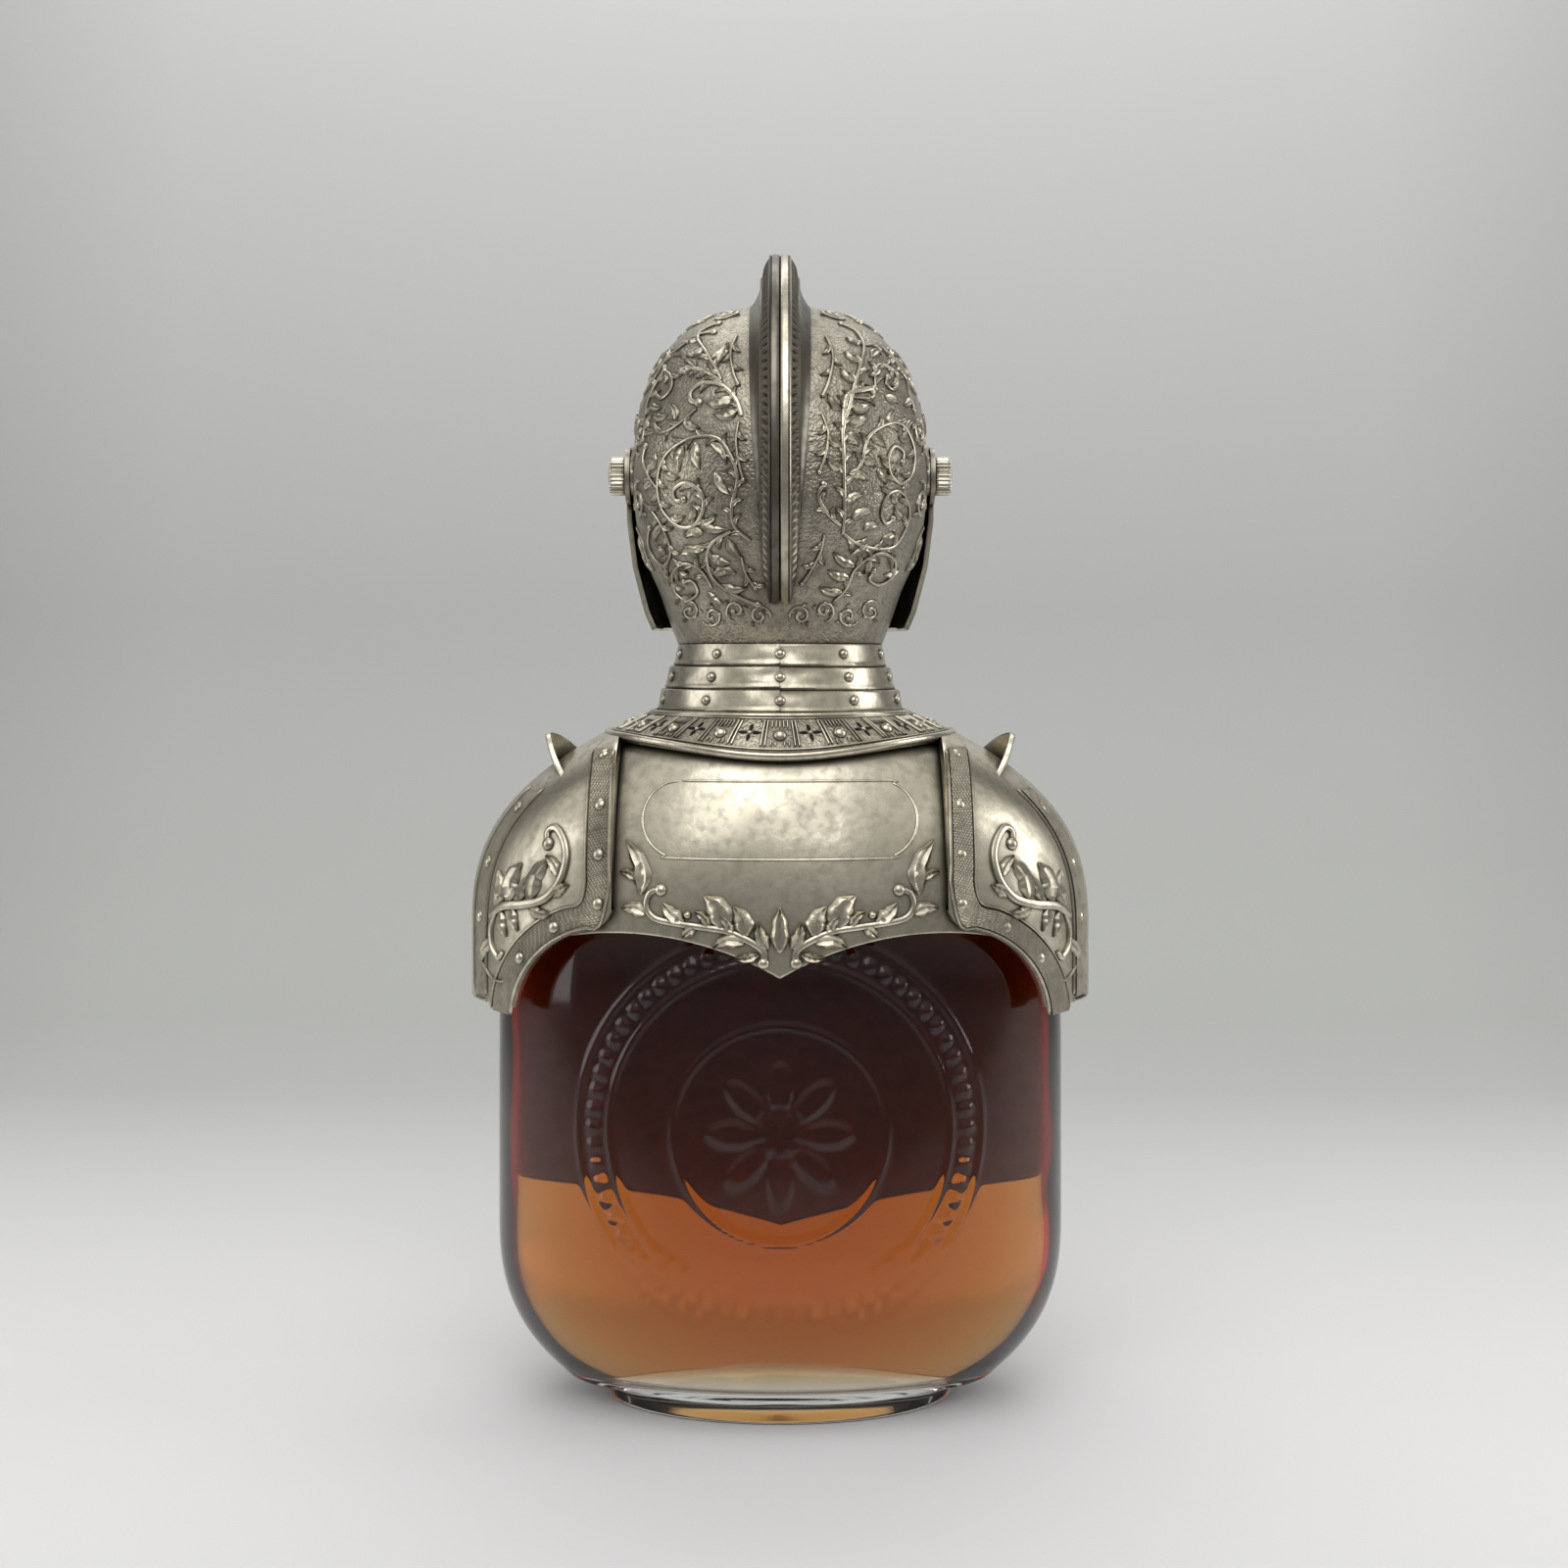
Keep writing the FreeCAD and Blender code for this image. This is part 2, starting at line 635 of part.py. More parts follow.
def stud_spot(turn):
    """Find the share of the shoulder's rise, and the turn there, of a stud partway across the collar band."""
    grow = size("collar_wall")
    part = size("stud_band_share")
    seat = cape_point(1, turn, grow)
    across = seat.x + part * (size("collar_half_width") * math.cos(turn) - seat.x)
    back = seat.y + part * (size("collar_half_depth") * math.sin(turn) - seat.y)
    low, high = 0.0, 1.0
    for _ in range(HALVINGS):
        share = (low + high) / 2
        width = cape_point(share, 0, grow).x
        depth = cape_point(share, math.pi / 2, grow).y
        if math.hypot(across / width, back / depth) < 1:
            low = share
        else:
            high = share
    return share, math.atan2(back / depth, across / width), grow


studs = []
for index in range(int(size("stud_count"))):
    spot = stud_spot(2 * math.pi * (index + 0.5) / size("stud_count"))
    studs.append(dome(cape_point(*spot), cape_normal(*spot), size("stud_radius"), size("stud_rise")))
node(shape_feature("studs", Part.makeCompound(studs)), "collar_studs")

# Pauldrons over the ends of both plates
pauldron_inner = cape_loft("pauldron_inner", "plate_gap")
pauldron_outer = cape_loft("pauldron_outer", "pauldron_grow")
hole_width = "collar_half_width + plate_gap"
hole_depth = "collar_half_depth + plate_gap"
collar_hole = oval_drum("collar_hole", hole_width, hole_depth, "shoulder_line", f"{REACH}")
pauldron_zone = box("pauldron_zone", "pauldron_inner_edge", f"-{REACH}", "pauldron_hem",
                    f"{REACH}", f"2 * {REACH}", f"{REACH}")
arm_arch = cylinder("arm_arch", "arm_arch_radius", f"2 * {REACH}", "arm_arch_offset", f"-{REACH}",
                    "arm_arch_height", ALONG_Y)
pauldron_skin = cut("pauldron_skin", pauldron_outer, pauldron_inner, collar_hole)
pauldron_shell = common("pauldron", pauldron_skin, pauldron_zone)


def border_spots():
    """List the rivets' places on the borders as (across, back, height), with across or back left open."""
    half_border = size("border_width") / 2
    spots = []
    for index in range(int(size("edge_rivet_count"))):
        height = size("edge_rivet_low") + index * size("edge_rivet_pitch")
        spots.append((size("pauldron_inner_edge") + half_border, None, height))
    for angle in ARCH_RIVET_ANGLES:
        reach = size("arm_arch_radius") + half_border
        across = size("arm_arch_offset") + reach * math.cos(math.radians(angle))
        spots.append((across, None, size("arm_arch_height") + reach * math.sin(math.radians(angle))))
    for index in range(int(size("side_rivet_count"))):
        height = size("side_rivet_low") + index * size("side_rivet_pitch")
        spots.append((None, size("side_rivet_depth"), height))
    return spots


pauldron_grow = size("pauldron_grow")
shank_radius = size("rivet_shank_radius")
shank_length = size("pauldron_wall")
rivets = []
shank_holes = []
for across, back, height in border_spots():
    share = cape_share(height, pauldron_grow)
    half_width = cape_point(share, 0, pauldron_grow).x
    half_depth = cape_point(share, math.pi / 2, pauldron_grow).y
    quarter = math.asin(back / half_depth) if across is None else math.acos(across / half_width)
    for turn in (quarter, -quarter):
        place = cape_point(share, turn, pauldron_grow)
        place.z = height
        normal = cape_normal(share, turn, pauldron_grow)
        head = dome(place, normal, size("rivet_radius"), size("rivet_rise"))
        tail = place - normal * shank_length
        rivets.append(head.fuse(Part.makeCylinder(shank_radius, shank_length, tail, normal)))
        start = tail - normal * shank_length / 2
        shank_holes.append(Part.makeCylinder(shank_radius, 2 * shank_length, start, normal))
rivet_holes = shape_feature("rivet_holes", Part.makeCompound(shank_holes))
left_pauldron = cut("left_pauldron", pauldron_shell, arm_arch, rivet_holes)
node(left_pauldron, "left_pauldron")
node(mirrored("right_pauldron_twin", left_pauldron), "right_pauldron")
left_rivets = shape_feature("left_rivets", Part.makeCompound(rivets))
node(left_rivets, "left_pauldron_rivets")
node(mirrored("right_rivets_twin", left_rivets), "right_pauldron_rivets")

# Upstanding leaf-shaped fins on the pauldrons
fin_body = doc.addObject("PartDesign::Body", "fin_blank")
fin_outline = outline_sketch(fin_body, "YZ_Plane", "fin_outline", (
    ("0 - fin_half_length", "0 - fin_rise"),
    ("fin_half_length", "0 - fin_rise"),
    ("fin_half_length", "0"),
    ("fin_half_length * 0.72", "fin_rise * 0.34"),
    ("fin_half_length * 0.4", "fin_rise * 0.7"),
    ("fin_half_length * 0.1", "fin_rise"),
    ("0 - fin_half_length * 0.35", "fin_rise * 0.62"),
    ("0 - fin_half_length * 0.72", "fin_rise * 0.3"),
    ("0 - fin_half_length", "0")))
pad(fin_body, fin_outline, "fin_thickness", midplane=True)
bind(fin_body, x="fin_offset", z="fin_base_height")
fin_body.setExpression(".Placement.Rotation.Axis.y", "1")
fin_body.setExpression(".Placement.Rotation.Axis.z", "0")
fin_body.setExpression(".Placement.Rotation.Angle", at("fin_lean"))
left_fin = cut("left_fin", fin_body, pauldron_outer)
node(left_fin, "left_shoulder_fin")
node(mirrored("right_fin_twin", left_fin), "right_shoulder_fin")

# Gorget of stepped lames, parted at the centre
lames = []
for index in range(int(size("lame_count"))):
    low = f"gorget_radius - {index} * (lame_taper + lame_step)"
    height = f"gorget_seat + {index} * lame_height"
    lames.append(cone(f"lame{index}", low, f"{low} - lame_taper", "lame_height", height))
gorget_solid = fuse("gorget", *lames)
throat_low = "gorget_radius - gorget_wall"
throat_high = "gorget_top_radius - gorget_wall"
throat = cone("throat", throat_low, throat_high, "lame_count * lame_height", "gorget_seat")
gorget_shell = cut("gorget_shell", gorget_solid, throat)
left_side = box("left_side", "0", f"-{REACH}", "0", f"{REACH}", f"2 * {REACH}", f"4 * {REACH}")
right_side = box("right_side", f"-{REACH}", f"-{REACH}", "0", f"{REACH}", f"2 * {REACH}", f"4 * {REACH}")
node(common("gorget_left", gorget_shell, left_side), "gorget_left")
node(common("gorget_right", gorget_shell, right_side), "gorget_right")

lame_slope = math.atan2(size("lame_taper"), size("lame_height"))
lame_rivets = []
for lame in range(int(size("lame_count"))):
    middle = size("gorget_radius") - lame * (size("lame_taper") + size("lame_step")) - size("lame_taper") / 2
    height = size("gorget_seat") + (lame + 0.5) * size("lame_height")
    for index in range(int(size("gorget_rivet_count"))):
        turn = 2 * math.pi * (index + 0.5) / size("gorget_rivet_count")
        outward = FreeCAD.Vector(math.cos(turn), math.sin(turn), 0)
        normal = outward * math.cos(lame_slope) + Z_AXIS * math.sin(lame_slope)
        place = outward * middle + Z_AXIS * height
        lame_rivets.append(dome(place, normal, size("gorget_rivet_radius"), size("gorget_rivet_rise")))
node(shape_feature("lame_rivets", Part.makeCompound(lame_rivets)), "gorget_rivets")


# Helmet skull: a rounded drum about the pivot line, run in to the neck, with a comb
def skull_drum(name, inset):
    """Turn the skull's full, flat-sided profile about the pivot line."""
    half = size("skull_half_width") - inset
    radius = size("skull_radius") - inset
    power = 2 / size("skull_fullness")
    points = [FreeCAD.Vector(half, 0, 0)]
    for index in range(1, PROFILE_STEPS):
        angle = math.pi * index / PROFILE_STEPS
        across = math.copysign(abs(math.cos(angle)) ** power, math.cos(angle))
        points.append(FreeCAD.Vector(across * half, math.sin(angle) ** power * radius, 0))
    points.append(FreeCAD.Vector(-half, 0, 0))
    curve = Part.BSplineCurve()
    curve.interpolate(points)
    outline = Part.Wire([curve.toShape(), Part.makeLine(points[-1], points[0])])
    drum = doc.addObject("Part::Revolution", name)
    drum.Source = shape_feature(f"{name}_profile", Part.Face(outline))
    drum.Axis = X_AXIS
    drum.Angle = 360
    drum.Solid = True
    return bind(drum, z="pivot_height")


def nape_loft(name, inset):
    """Loft the skull's lower part from the gorget up into the drum."""
    deep = size("nape_blend_half_depth") >= size("nape_blend_half_width")
    sections = []
    for share in NAPE_SHARES:
        fullness = f"(1 - (1 - {share}) ^ nape_curve)"
        height = f"gorget_top + {share} * (nape_blend_height - gorget_top)"
        width = f"gorget_top_radius + (nape_blend_half_width - gorget_top_radius) * {fullness} - {inset}"
        depth = f"gorget_top_radius + (nape_blend_half_depth - gorget_top_radius) * {fullness} - {inset}"
        sections.append(oval(f"{name}_ring", width, depth, height, deep))
    return loft(name, sections)


def comb_drum():
    """Turn the comb's section about its own middle: a flat strip, sloping rope bands and a flared foot."""
    top = size("comb_radius")
    slope = [FreeCAD.Vector(size("comb_strip_half"), top, 0)]
    for part in ("rope", "foot"):
        slope.append(FreeCAD.Vector(size(f"comb_{part}_half"), top - size(f"comb_{part}_drop"), 0))
    foot = FreeCAD.Vector(size("comb_foot_half"), 0, 0)
    right = [FreeCAD.Vector(-point.x, point.y, 0) for point in (foot, *reversed(slope))]
    corners = [*slope, foot, *right]
    drum = doc.addObject("Part::Revolution", "comb_drum")
    drum.Source = shape_feature("comb_section", Part.Face(Part.makePolygon([*corners, corners[0]])))
    drum.Axis = X_AXIS
    drum.Angle = 360
    drum.Solid = True
    return bind(drum, y="comb_shift", z="comb_height")


def skull_back(across, height):
    """Find the point on the skull's back at a distance from the middle and a height."""
    power = size("skull_fullness")
    ring = size("skull_radius") * (1 - (across / size("skull_half_width")) ** power) ** (1 / power)
    drum = math.sqrt(max(ring ** 2 - (height - size("pivot_height")) ** 2, 0))
    share = min((height - size("gorget_top")) / (size("nape_blend_height") - size("gorget_top")), 1)
    fullness = 1 - (1 - share) ** size("nape_curve")
    foot = size("gorget_top_radius")
    wide = foot + (size("nape_blend_half_width") - foot) * fullness
    deep = foot + (size("nape_blend_half_depth") - foot) * fullness
    nape = deep * math.sqrt(max(1 - (across / wide) ** 2, 0)) if share < 1 else 0
    return FreeCAD.Vector(across, max(drum, nape), height)


def skull_side(back, height):
    """Find the point on the skull's side at a distance behind the pivot and a height."""
    power = size("skull_fullness")
    reach = math.hypot(back, height - size("pivot_height")) / size("skull_radius")
    return FreeCAD.Vector(size("skull_half_width") * (1 - reach ** power) ** (1 / power), back, height)


def skull_crown(across, back):
    """Find the point on the skull's crown at a distance from the middle and behind the pivot."""
    power = size("skull_fullness")
    ring = size("skull_radius") * (1 - (across / size("skull_half_width")) ** power) ** (1 / power)
    return FreeCAD.Vector(across, back, size("pivot_height") + math.sqrt(ring ** 2 - back ** 2))


half, radius, middle = size("skull_half_width"), size("skull_radius"), size("pivot_height")
skull_scrolls = []
for out, up, reach in BACK_SCROLLS:
    skull_scrolls += scroll_ring(skull_back, out * half, middle + up * radius, reach * radius)
for back, up, reach in SIDE_SCROLLS:
    skull_scrolls += scroll_ring(skull_side, back * radius, middle + up * radius, reach * radius)
for out, back, reach in CROWN_SCROLLS:
    skull_scrolls += scroll_ring(skull_crown, out * half, back * radius, reach * radius)
skull_rings = shape_feature("skull_scrolls", Part.makeCompound(skull_scrolls))
brow_cut = box("brow_cut", f"-{REACH}", f"-{REACH}", "0", f"2 * {REACH}", f"{REACH} - comb_brow_depth",
               "comb_brow")
comb = cut("comb", comb_drum(), brow_cut)
skull_solid = fuse("skull", skull_drum("skull_drum_outer", 0), nape_loft("nape_outer", "0"), comb,
                   skull_rings)
skull_space = fuse("skull_space", skull_drum("skull_drum_inner", size("skull_wall")),
                   nape_loft("nape_inner", "skull_wall"))
below_skull = slab("below_skull", "0", "gorget_top")
face_opening = box("face_opening", "0 - face_half_width", f"-{REACH}", "face_low", "2 * face_half_width",
                   f"{REACH} - face_half_width", "face_high - face_low")
pivot_hole = pivot_bar("pivot_hole", "screw_radius", f"-{REACH}", f"2 * {REACH}")
skull_shell = cut("skull_shell", skull_solid, skull_space, below_skull, face_opening, pivot_hole)
node(common("skull_left", skull_shell, left_side), "skull_left")
node(common("skull_right", skull_shell, right_side), "skull_right")


# Visor: a keeled shell turned about the pivot line, trimmed to its side outline
def visor_drum(name, inset, keel_inset):
    """Turn the visor's keeled section about the pivot line."""
    body = doc.addObject("PartDesign::Body", name)
    half = f"(visor_half_width - {inset})"
    cheek = f"(visor_cheek_half_width - {inset})"
    chin = f"{cheek} * visor_chin_share"
    cheek_reach = f"visor_cheek_reach - {inset}"
    chin_reach = f"{cheek_reach} + (visor_keel_reach - visor_cheek_reach) * visor_chin_rise"
    section = outline_sketch(body, "XY_Plane", f"{name}_section", (
        (f"0 - {half}", "0"),
        (half, "0"),
        (half, "visor_arm_radius"),
        (cheek, cheek_reach),
        (chin, chin_reach),
        ("0", f"visor_keel_reach - {keel_inset}"),
        (f"0 - {chin}", chin_reach),
        (f"0 - {cheek}", cheek_reach),
        (f"0 - {half}", "visor_arm_radius")))
    turned(body, section, "H_Axis")
    return bind(body, z="pivot_height")


visor_outer = visor_drum("visor_outer", "0", "0")
visor_inner = visor_drum("visor_inner", "visor_wall", "visor_keel_wall")
visor_shell = cut("visor_shell", visor_outer, visor_inner)
visor_body = doc.addObject("PartDesign::Body", "visor_side")
brow_rise = f"{REACH} * tan(visor_brow_angle)"
visor_outline = outline_sketch(visor_body, "YZ_Plane", "visor_outline", (
    ("0 - visor_arm_rear", "0 - visor_arm_low"),
    ("0 - visor_hem_rear", "0 - visor_drop"),
    (f"0 - {REACH}", "0 - visor_drop"),
    (f"0 - {REACH}", brow_rise),
    ("0 - visor_arm_rear", "visor_arm_high")))
pad(visor_body, visor_outline, f"2 * {REACH}", midplane=True)
bind(visor_body, z="pivot_height")
arm_ends = pivot_bar("arm_ends", "visor_arm_radius", f"-{REACH}", f"2 * {REACH}")
visor_blank = common("visor", visor_shell, fuse("visor_zone", visor_body, arm_ends))
arm_hole = pivot_bar("arm_hole", "screw_radius + pivot_clearance", f"-{REACH}", f"2 * {REACH}")
front_depth = f"{REACH} - skull_radius / 2"
breath_low = "pivot_height - breath_drop - breath_length"
openings = []
for side in (1, -1):
    start = "sight_gap / 2" if side > 0 else "0 - sight_gap / 2 - sight_half_length"
    openings.append(box(f"sight{side}", start, f"-{REACH}", "pivot_height - sight_drop", "sight_half_length",
                        front_depth, "sight_height"))
    for index in range(int(size("breath_count"))):
        start = f"{side} * (sight_gap + {index} * breath_pitch) - breath_width / 2"
        height = f"breath_length * (1 - {index} / (2 * breath_count))"
        openings.append(box(f"breath{side}_{index}", start, f"-{REACH}", breath_low, "breath_width",
                            front_depth, height))
node(cut("visor_pierced", visor_blank, arm_hole, *openings), "visor")

# Pivot screws, washers and knurled thumb nuts
head_start = "screw_seat - screw_head_thickness"
screw_head = pivot_bar("screw_head", "screw_head_radius", head_start, "screw_head_thickness")
shank_start = "screw_seat - screw_head_thickness / 2"
screw_shank = pivot_bar("screw_shank", "screw_radius", shank_start, f"screw_end - ({shank_start})")
left_screw = fuse("left_screw", screw_head, screw_shank)
node(left_screw, "left_pivot_screw")
node(mirrored("right_screw_twin", left_screw), "right_pivot_screw")

washer_blank = pivot_bar("washer_blank", "washer_radius", "washer_face", "washer_thickness")
left_washer = cut("left_washer", washer_blank, pivot_hole)
node(left_washer, "left_pivot_washer")
node(mirrored("right_washer_twin", left_washer), "right_pivot_washer")

nut_body = doc.addObject("PartDesign::Body", "thumb_nut")
pad(nut_body, circle_sketch(nut_body, "YZ_Plane", "nut_round", "nut_radius"), "nut_length")
doc.recompute()
knurl = circle_sketch(nut_body, "YZ_Plane", "knurl", "knurl_radius", "nut_radius")
grooves_round(nut_body, knurl, "nut_length", "N_Axis", "knurl_count", True)
doc.recompute()
thread = circle_sketch(nut_body, "YZ_Plane", "nut_thread", "screw_radius + pivot_clearance")
thread_hole = nut_body.newObject("PartDesign::Pocket", "ThreadHole")
thread_hole.Profile = thread
thread_hole.setExpression("Length", at("nut_length - nut_crown + pivot_clearance"))
thread_hole.Reversed = True
bind(nut_body, x="nut_face", z="pivot_height")
node(nut_body, "left_thumb_nut")
node(mirrored("right_nut_twin", nut_body), "right_thumb_nut")

doc.recompute()
failed = [thing.Label for thing in doc.Objects if "Invalid" in thing.State or "Error" in thing.State]
failed += [thing.Label for thing in nodes if thing.Shape.isNull() or not thing.Shape.isValid()]
if failed:
    raise RuntimeError(f"no valid shape: {failed}")

os.makedirs("parts", exist_ok=True)
for thing in nodes:
    thing.Shape.exportStep(f"parts/{thing.Label}.step")
    bounds = thing.Shape.BoundBox
    print(f"{thing.Label}: {len(thing.Shape.Solids)} solids, {thing.Shape.Volume:.0f} mm3, "
          f"x {bounds.XMin:.1f} to {bounds.XMax:.1f}, y {bounds.YMin:.1f} to {bounds.YMax:.1f}, "
          f"z {bounds.ZMin:.1f} to {bounds.ZMax:.1f}")
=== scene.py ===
"""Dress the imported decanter: a glass flask of liquor under a knight's bust in antique pewter.

Sizes are in millimetres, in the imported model's frame, and meshes are made in metres.
"""
import logging
import math
from dataclasses import dataclass
from enum import Enum
from typing import Callable, Iterable, Sequence

import bmesh
import bpy
from mathutils import Matrix, Vector, noise


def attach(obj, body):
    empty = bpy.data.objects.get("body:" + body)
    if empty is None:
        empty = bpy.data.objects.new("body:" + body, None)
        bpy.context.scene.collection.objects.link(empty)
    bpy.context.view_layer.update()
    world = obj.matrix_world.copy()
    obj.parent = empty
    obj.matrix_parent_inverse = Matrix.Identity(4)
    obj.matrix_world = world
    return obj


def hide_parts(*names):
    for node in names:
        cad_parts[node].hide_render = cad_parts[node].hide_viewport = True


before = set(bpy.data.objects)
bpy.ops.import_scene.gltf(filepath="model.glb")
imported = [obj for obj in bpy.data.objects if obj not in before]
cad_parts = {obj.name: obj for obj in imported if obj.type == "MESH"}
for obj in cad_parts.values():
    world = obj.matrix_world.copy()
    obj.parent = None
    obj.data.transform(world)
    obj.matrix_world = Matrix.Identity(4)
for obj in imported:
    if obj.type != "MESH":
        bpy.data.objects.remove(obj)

LOG = logging.getLogger("decanter")
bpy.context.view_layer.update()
MM = 0.001
WELD = 1e-7
HALVINGS = 30

Flat = tuple[float, float]
Place = Callable[[float, float], Vector]


class Body(Enum):
    """The moving bodies that pieces ride on."""

    BOTTLE = "bottle"
    HELMET = "helmet"
    VISOR = "visor"
    LEFT_NUT = "left_nut"
    RIGHT_NUT = "right_nut"


class Slot(Enum):
    """The record's finishes."""

    PEWTER = "antique_pewter"
    NICKEL = "pale_nickel"
    GLASS = "clear_glass"
    LIQUOR = "amber_liquor"


class Hand(Enum):
    """The way that a scroll winds."""

    LEFT = 1
    RIGHT = -1


def mix(start: float, end: float, share: float) -> float:
    """Return the value at a share of the way from start to end."""
    return start + (end - start) * share


def clamp(value: float, low: float = 0.0, high: float = 1.0) -> float:
    """Return the value held between two limits."""
    return max(low, min(high, value))


def ease(value: float) -> float:
    """Return a smooth step from 0 to 1."""
    held = clamp(value)
    return held * held * (3 - 2 * held)


def halve(test: Callable[[float], bool], low: float, high: float) -> float:
    """Search for the place where a test turns from true to false.

    Args:
        test: True at low and false past the place that is sought.
        low: Where the search starts.
        high: Where it ends.

    Returns:
        The last value at which the test holds.
    """
    for _ in range(HALVINGS):
        middle = (low + high) / 2
        if test(middle):
            low = middle
        else:
            high = middle
    return low


def smooth_route(points: Sequence[Flat], step: float = 0.5) -> list[Flat]:
    """Draw a smooth line through points.

    Args:
        points: Places that the line passes through, in millimetres.
        step: Distance between the places returned.

    Returns:
        Places along the line.
    """
    held = [points[0], *points, points[-1]]
    route = []
    for first, start, end, last in zip(held, held[1:], held[2:], held[3:]):
        count = max(2, round(math.dist(start, end) / step))
        for index in range(count):
            share = index / count
            pull = [(b - a) / 2 for a, b in zip(first, end)]
            push = [(b - a) / 2 for a, b in zip(start, last)]
            square = share * share
            cube = square * share
            route.append(tuple(
                (2 * cube - 3 * square + 1) * a + (cube - 2 * square + share) * p
                + (3 * square - 2 * cube) * b + (cube - square) * q
                for a, b, p, q in zip(start, end, pull, push)))
    route.append(tuple(points[-1]))
    return route


def spiral(centre: Flat, radius: float, turns: float, start: float, hand: Hand,
           inner: float = 0.22) -> list[Flat]:
    """Wind a line in towards a centre.

    Args:
        centre: The middle of the scroll.
        radius: Its outer radius.
        turns: Number of turns.
        start: Angle in degrees at which it starts, from the first axis.
        hand: The way that it winds.
        inner: Share of the radius that is left at the end.

    Returns:
        Places along the line, from outside to inside.
    """
    count = max(8, round(turns * 14))
    places = []
    for index in range(count + 1):
        share = index / count
        angle = math.radians(start) + hand.value * 2 * math.pi * turns * share
        reach = radius * mix(1.0, inner, share ** 0.85)
        places.append((centre[0] + reach * math.cos(angle), centre[1] + reach * math.sin(angle)))
    return places


class Workbench:
    """Gathers the meshes of one piece and hands the piece over."""

    def __init__(self) -> None:
        """Start with an empty mesh that has a map for patterns along ribbons."""
        self.bm = bmesh.new()
        self.map = self.bm.loops.layers.uv.new("Ribbon")

    def sheet(self, columns: int, rows: int, place: Place, weld: bool = False,
              span: Flat = (1.0, 1.0)) -> None:
        """Lay a grid of faces and move each corner to its place.

        Args:
            columns: Faces along the first direction.
            rows: Faces along the second.
            place: Gives a corner's place from its two shares.
            weld: Whether corners that meet are joined.
            span: Real size of the grid, for patterns that follow it.
        """
        before = set(self.bm.faces)
        made = bmesh.ops.create_grid(self.bm, x_segments=columns, y_segments=rows, size=0.5, calc_uvs=True)
        for face in self.bm.faces:
            if face not in before:
                for loop in face.loops:
                    loop[self.map].uv = ((loop.vert.co.x + 0.5) * span[0], (loop.vert.co.y + 0.5) * span[1])
        for vert in made["verts"]:
            vert.co = place(vert.co.x + 0.5, vert.co.y + 0.5)
        if weld:
            bmesh.ops.remove_doubles(self.bm, verts=made["verts"], dist=WELD)

    def thicken(self, wall: float, edge: float) -> None:
        """Give the sheets a wall on their inner side, and ease its rims.

        Args:
            wall: Thickness of the wall.
            edge: Size of the eased rims.
        """
        self.bm.normal_update()
        bmesh.ops.solidify(self.bm, geom=self.bm.faces[:], thickness=wall * MM)
        rims = [rim for rim in self.bm.edges
                if rim.is_manifold and rim.calc_face_angle(0.0) > math.radians(55)]
        bmesh.ops.bevel(self.bm, geom=rims, offset=edge * MM, offset_type="OFFSET", affect="EDGES",
                        segments=2, profile=0.5, material=-1, clamp_overlap=True)

    def cut_window(self, low: Vector, high: Vector, margin: float = 3.0) -> None:
        """Cut a straight-sided window through the sheets.

        Args:
            low: Lowest corner of the window's box, in millimetres.
            high: Highest corner.
            margin: How far round the window the sheet is divided.
        """
        spread = Vector((margin, margin, margin))

        def inside(point: Vector, start: Vector, end: Vector) -> bool:
            """Return whether a point lies in a box."""
            return all(a <= value / MM <= b for value, a, b in zip(point, start, end))

        for axis in (0, 2):
            normal = Vector((0, 0, 0))
            normal[axis] = 1.0
            for corner in (low, high):
                near = [face for face in self.bm.faces
                        if inside(face.calc_center_median(), low - spread, high + spread)]
                parts = set(near)
                for face in near:
                    parts.update(face.edges)
                    parts.update(face.verts)
                bmesh.ops.bisect_plane(self.bm, geom=list(parts), dist=WELD, plane_co=corner * MM,
                                       plane_no=normal)
        gone = [face for face in self.bm.faces if inside(face.calc_center_median(), low, high)]
        bmesh.ops.delete(self.bm, geom=gone, context="FACES")

    def ball(self, spot: "Spot", radius: float, rise: float, segments: int = 12) -> None:
        """Set a domed bead on a ground.

        Args:
            spot: Where it sits.
            radius: Its radius.
            rise: How far it stands up.
            segments: Faces round it.
        """
        turn = spot.normal.to_track_quat("Z", "Y").to_matrix().to_4x4()
        size = Matrix.Diagonal((radius * MM, radius * MM, rise * MM, 1.0))
        bmesh.ops.create_uvsphere(self.bm, u_segments=segments, v_segments=max(6, segments // 2), radius=1.0,
                                  matrix=Matrix.Translation(spot.point) @ turn @ size)

    def piece(self, name: str, finish: bpy.types.Material, body: Body, slot: Slot,
              replaces: Iterable[str] = (), sharp: float = 42.0, outward: bool = False) -> bpy.types.Object:
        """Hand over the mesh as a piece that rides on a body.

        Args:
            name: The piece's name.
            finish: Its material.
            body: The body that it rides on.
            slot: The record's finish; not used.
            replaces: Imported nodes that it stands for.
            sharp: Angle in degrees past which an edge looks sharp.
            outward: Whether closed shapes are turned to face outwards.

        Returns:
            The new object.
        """
        if outward:
            bmesh.ops.recalc_face_normals(self.bm, faces=self.bm.faces[:])
        piece = self.release(name, finish)
        piece.data.set_sharp_from_angle(angle=math.radians(sharp))
        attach(piece, body.value)
        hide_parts(*replaces)
        LOG.info("%s: %d faces on %s", name, len(piece.data.polygons), body.value)
        return piece

